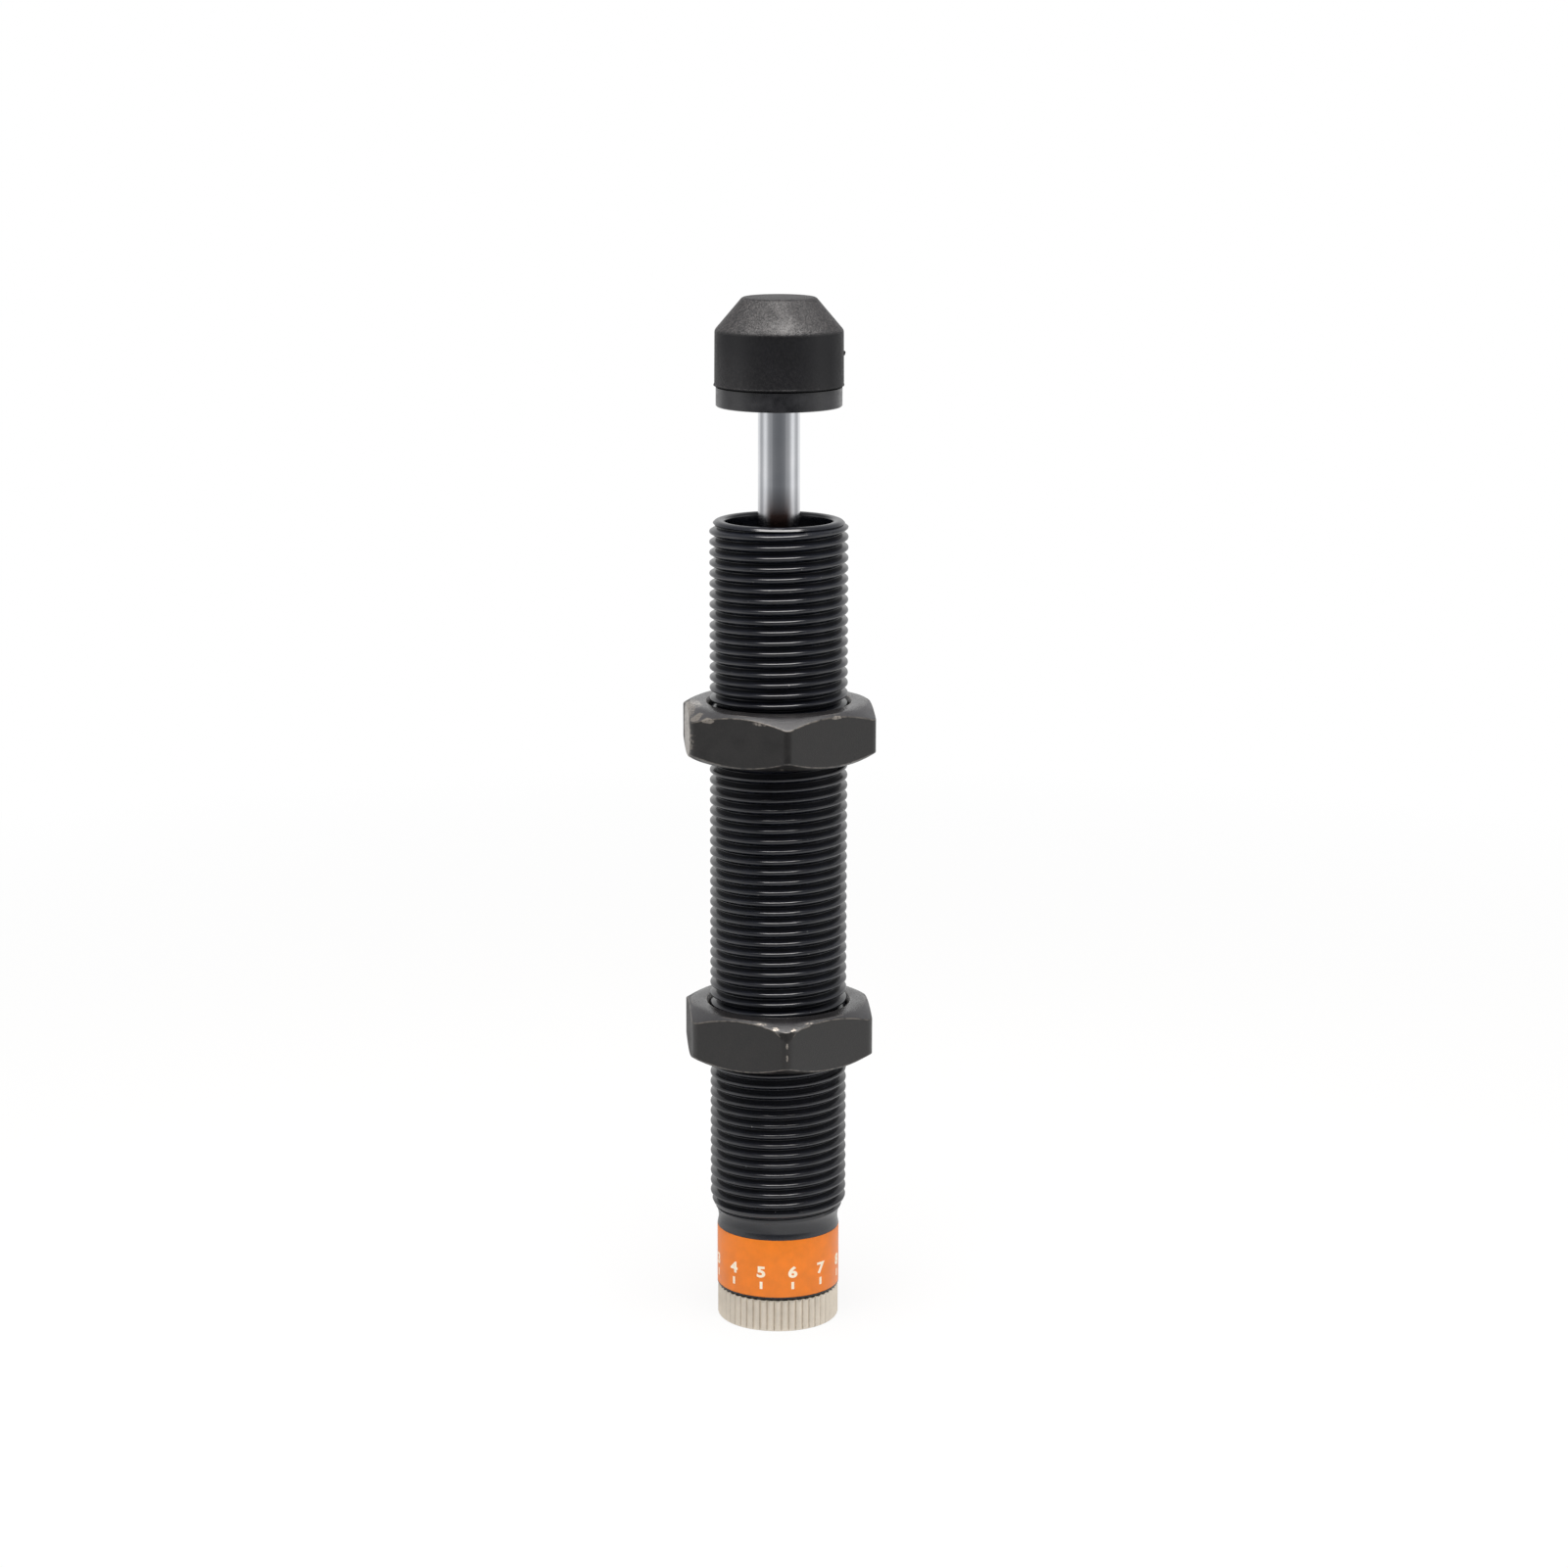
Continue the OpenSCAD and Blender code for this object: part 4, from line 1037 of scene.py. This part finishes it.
def white_paper(sizes):
    """White paper: matte, and plain white to the camera and to metal but for a faint shadow."""
    material, tree, surface, place = start("white_paper", {"Roughness": 0.9})
    fibre = grain(tree, place, 1.5 * MM)
    tone = mixed(tree, between(tree, fibre, 0, 1), shade(sizes.paper, 0.99), sizes.paper)
    feed(tree, surface, {"Base Color": tone})
    ray = node(tree, "LightPath")
    seen = math_node(tree, "MAXIMUM", ray.outputs["Is Camera Ray"], ray.outputs["Is Glossy Ray"])
    # metal sees the left side of the sheet less lit
    across = between(tree, node(tree, "SeparateXYZ", {0: place}).outputs["X"], 0, 1, -0.1, 0.05)
    left_side = ramp(tree, across, ((0, 0.95), (0.3, 0.7), (0.52, 0.7), (0.66, 1)))
    strength = math_node(tree, "MAXIMUM", ray.outputs["Is Camera Ray"], left_side)
    glow = node(tree, "Emission", {"Color": rgba((1, 1, 1)), "Strength": strength})
    # all glow at the edge, so that the sheet runs into the backdrop
    away = node(tree, "VectorMath", {0: place}, operation="LENGTH").outputs["Value"]
    share = times(tree, seen, between(tree, away, 0.86, 1, 0.1, sizes.sheet))
    mix = node(tree, "MixShader", {0: share, 1: surface.outputs["BSDF"],
                                   2: glow.outputs["Emission"]})
    feed(tree, tree.nodes["Material Output"], {"Surface": mix.outputs["Shader"]})
    return material


def paper_sheet(sizes):
    """Round sheet of paper under the object, most of it behind."""
    mesh = bmesh.new()
    bmesh.ops.create_circle(mesh, cap_ends=True, segments=96, radius=sizes.sheet)
    data = bpy.data.meshes.new("paper")
    mesh.to_mesh(data)
    mesh.free()
    data.materials.append(white_paper(sizes))
    paper = placed("paper", data)
    paper.location.y = sizes.sheet / 3


def light_tent():
    """White tent behind and beside the object, which darkens towards the open front and the top."""
    world = bpy.data.worlds.new("light_tent")
    bpy.context.scene.world = world
    world.use_nodes = True
    tree = world.node_tree
    direction = node(tree, "TexCoord").outputs["Generated"]
    parts = node(tree, "SeparateXYZ", {0: direction})
    # going round from the open front over the bright side walls, and a dim gap, to the backdrop
    walls = ramp(tree, between(tree, parts.outputs["Y"], 0, 1, -1, 1),
                 ((0, 0.02), (0.08, 0.1), (0.12, 0.25), (0.17, 0.27), (0.25, 0.41), (0.38, 1),
                  (0.46, 1), (0.6, 0.53), (0.72, 0.47), (0.86, 1)))
    heights = ramp(tree, parts.outputs["Z"], ((0.25, 1), (0.45, 0.45), (1, 0.25)))
    left_wall = between(tree, parts.outputs["X"], 0.94, 1, -0.5, 0.5)
    cloth = times(tree, times(tree, walls, heights), left_wall)
    tent = mixed(tree, cloth, (0.15, 0.155, 0.165), (1, 1, 1))
    camera = node(tree, "LightPath").outputs["Is Camera Ray"]
    feed(tree, tree.nodes["Background"], {"Color": mixed(tree, camera, tent, (1, 1, 1))})


def area_light(name, place, aim, width, height, power):
    """Soft box at a place, turned to an aim."""
    data = bpy.data.lights.new(name, "AREA")
    data.shape = "RECTANGLE"
    data.color = linear("#FFFCF9")
    data.size, data.size_y, data.energy = width, height, power
    lamp = placed(name, data)
    lamp.location = place
    lamp.rotation_euler = (Vector(aim) - Vector(place)).to_track_quat("-Z", "Y").to_euler()


def camera_at(sizes):
    """Camera in front of the object, a little above it."""
    aim = Vector((sizes.aside, 0, sizes.aim))
    back = Vector((0, -math.cos(sizes.elevation), math.sin(sizes.elevation)))
    data = bpy.data.cameras.new("camera")
    data.lens = sizes.lens
    camera = placed("camera", data)
    camera.location = aim + back * sizes.distance
    level = (-back).to_track_quat("-Z", "Y")
    camera.rotation_euler = (level @ Quaternion((0, 0, 1), sizes.roll)).to_euler()
    bpy.context.scene.camera = camera


class ABSORBER_OT_studio(bpy.types.Operator):
    """Set up the paper, the light tent, the soft box and the camera"""
    bl_idname = "absorber.studio"
    bl_label = "Studio"

    def execute(self, context):
        sizes = context.scene.absorber_stage
        context.scene.view_settings.view_transform = "Standard"
        paper_sheet(sizes)
        light_tent()
        area_light("overhead_box", (0, -0.11, 0.52), (0, 0, 0.08), 0.33, 0.36, 3.5)
        camera_at(sizes)
        return {"FINISHED"}


# ---- add-on ----

SIZES = {"absorber_body": BodySizes, "absorber_nuts": NutSizes, "absorber_bumper": BumperSizes,
         "absorber_dial": DialSizes, "absorber_knob": KnobSizes, "absorber_spring": SpringSizes,
         "absorber_stage": StageSizes}
OPERATORS = [ABSORBER_OT_body, ABSORBER_OT_lock_nuts, ABSORBER_OT_bumper, ABSORBER_OT_dial,
             ABSORBER_OT_knob, ABSORBER_OT_return_spring, ABSORBER_OT_inner_pieces,
             ABSORBER_OT_studio]


class ABSORBER_PT_panel(bpy.types.Panel):
    """Sidebar panel with the operators and their sizes"""
    bl_label = "Shock Absorber"
    bl_idname = "ABSORBER_PT_panel"
    bl_space_type = "VIEW_3D"
    bl_region_type = "UI"
    bl_category = "Absorber"

    def draw(self, context):
        for operator in OPERATORS:
            self.layout.operator(operator.bl_idname)
        for name, group in SIZES.items():
            box = self.layout.box()
            box.label(text=group.__doc__)
            for key in group.__annotations__:
                box.prop(getattr(context.scene, name), key)


def register():
    """Registers the sizes, operators and panel."""
    for name, group in SIZES.items():
        bpy.utils.register_class(group)
        setattr(bpy.types.Scene, name, PointerProperty(type=group))
    for cls in OPERATORS + [ABSORBER_PT_panel]:
        bpy.utils.register_class(cls)


def unregister():
    """Removes what register added."""
    for cls in reversed(OPERATORS + [ABSORBER_PT_panel]):
        bpy.utils.unregister_class(cls)
    for name, group in SIZES.items():
        delattr(bpy.types.Scene, name)
        bpy.utils.unregister_class(group)


def main():
    """Builds everything in order."""
    register()
    for operator in OPERATORS:
        category, name = operator.bl_idname.split(".")
        getattr(getattr(bpy.ops, category), name)()


if __name__ == "__main__":
    main()
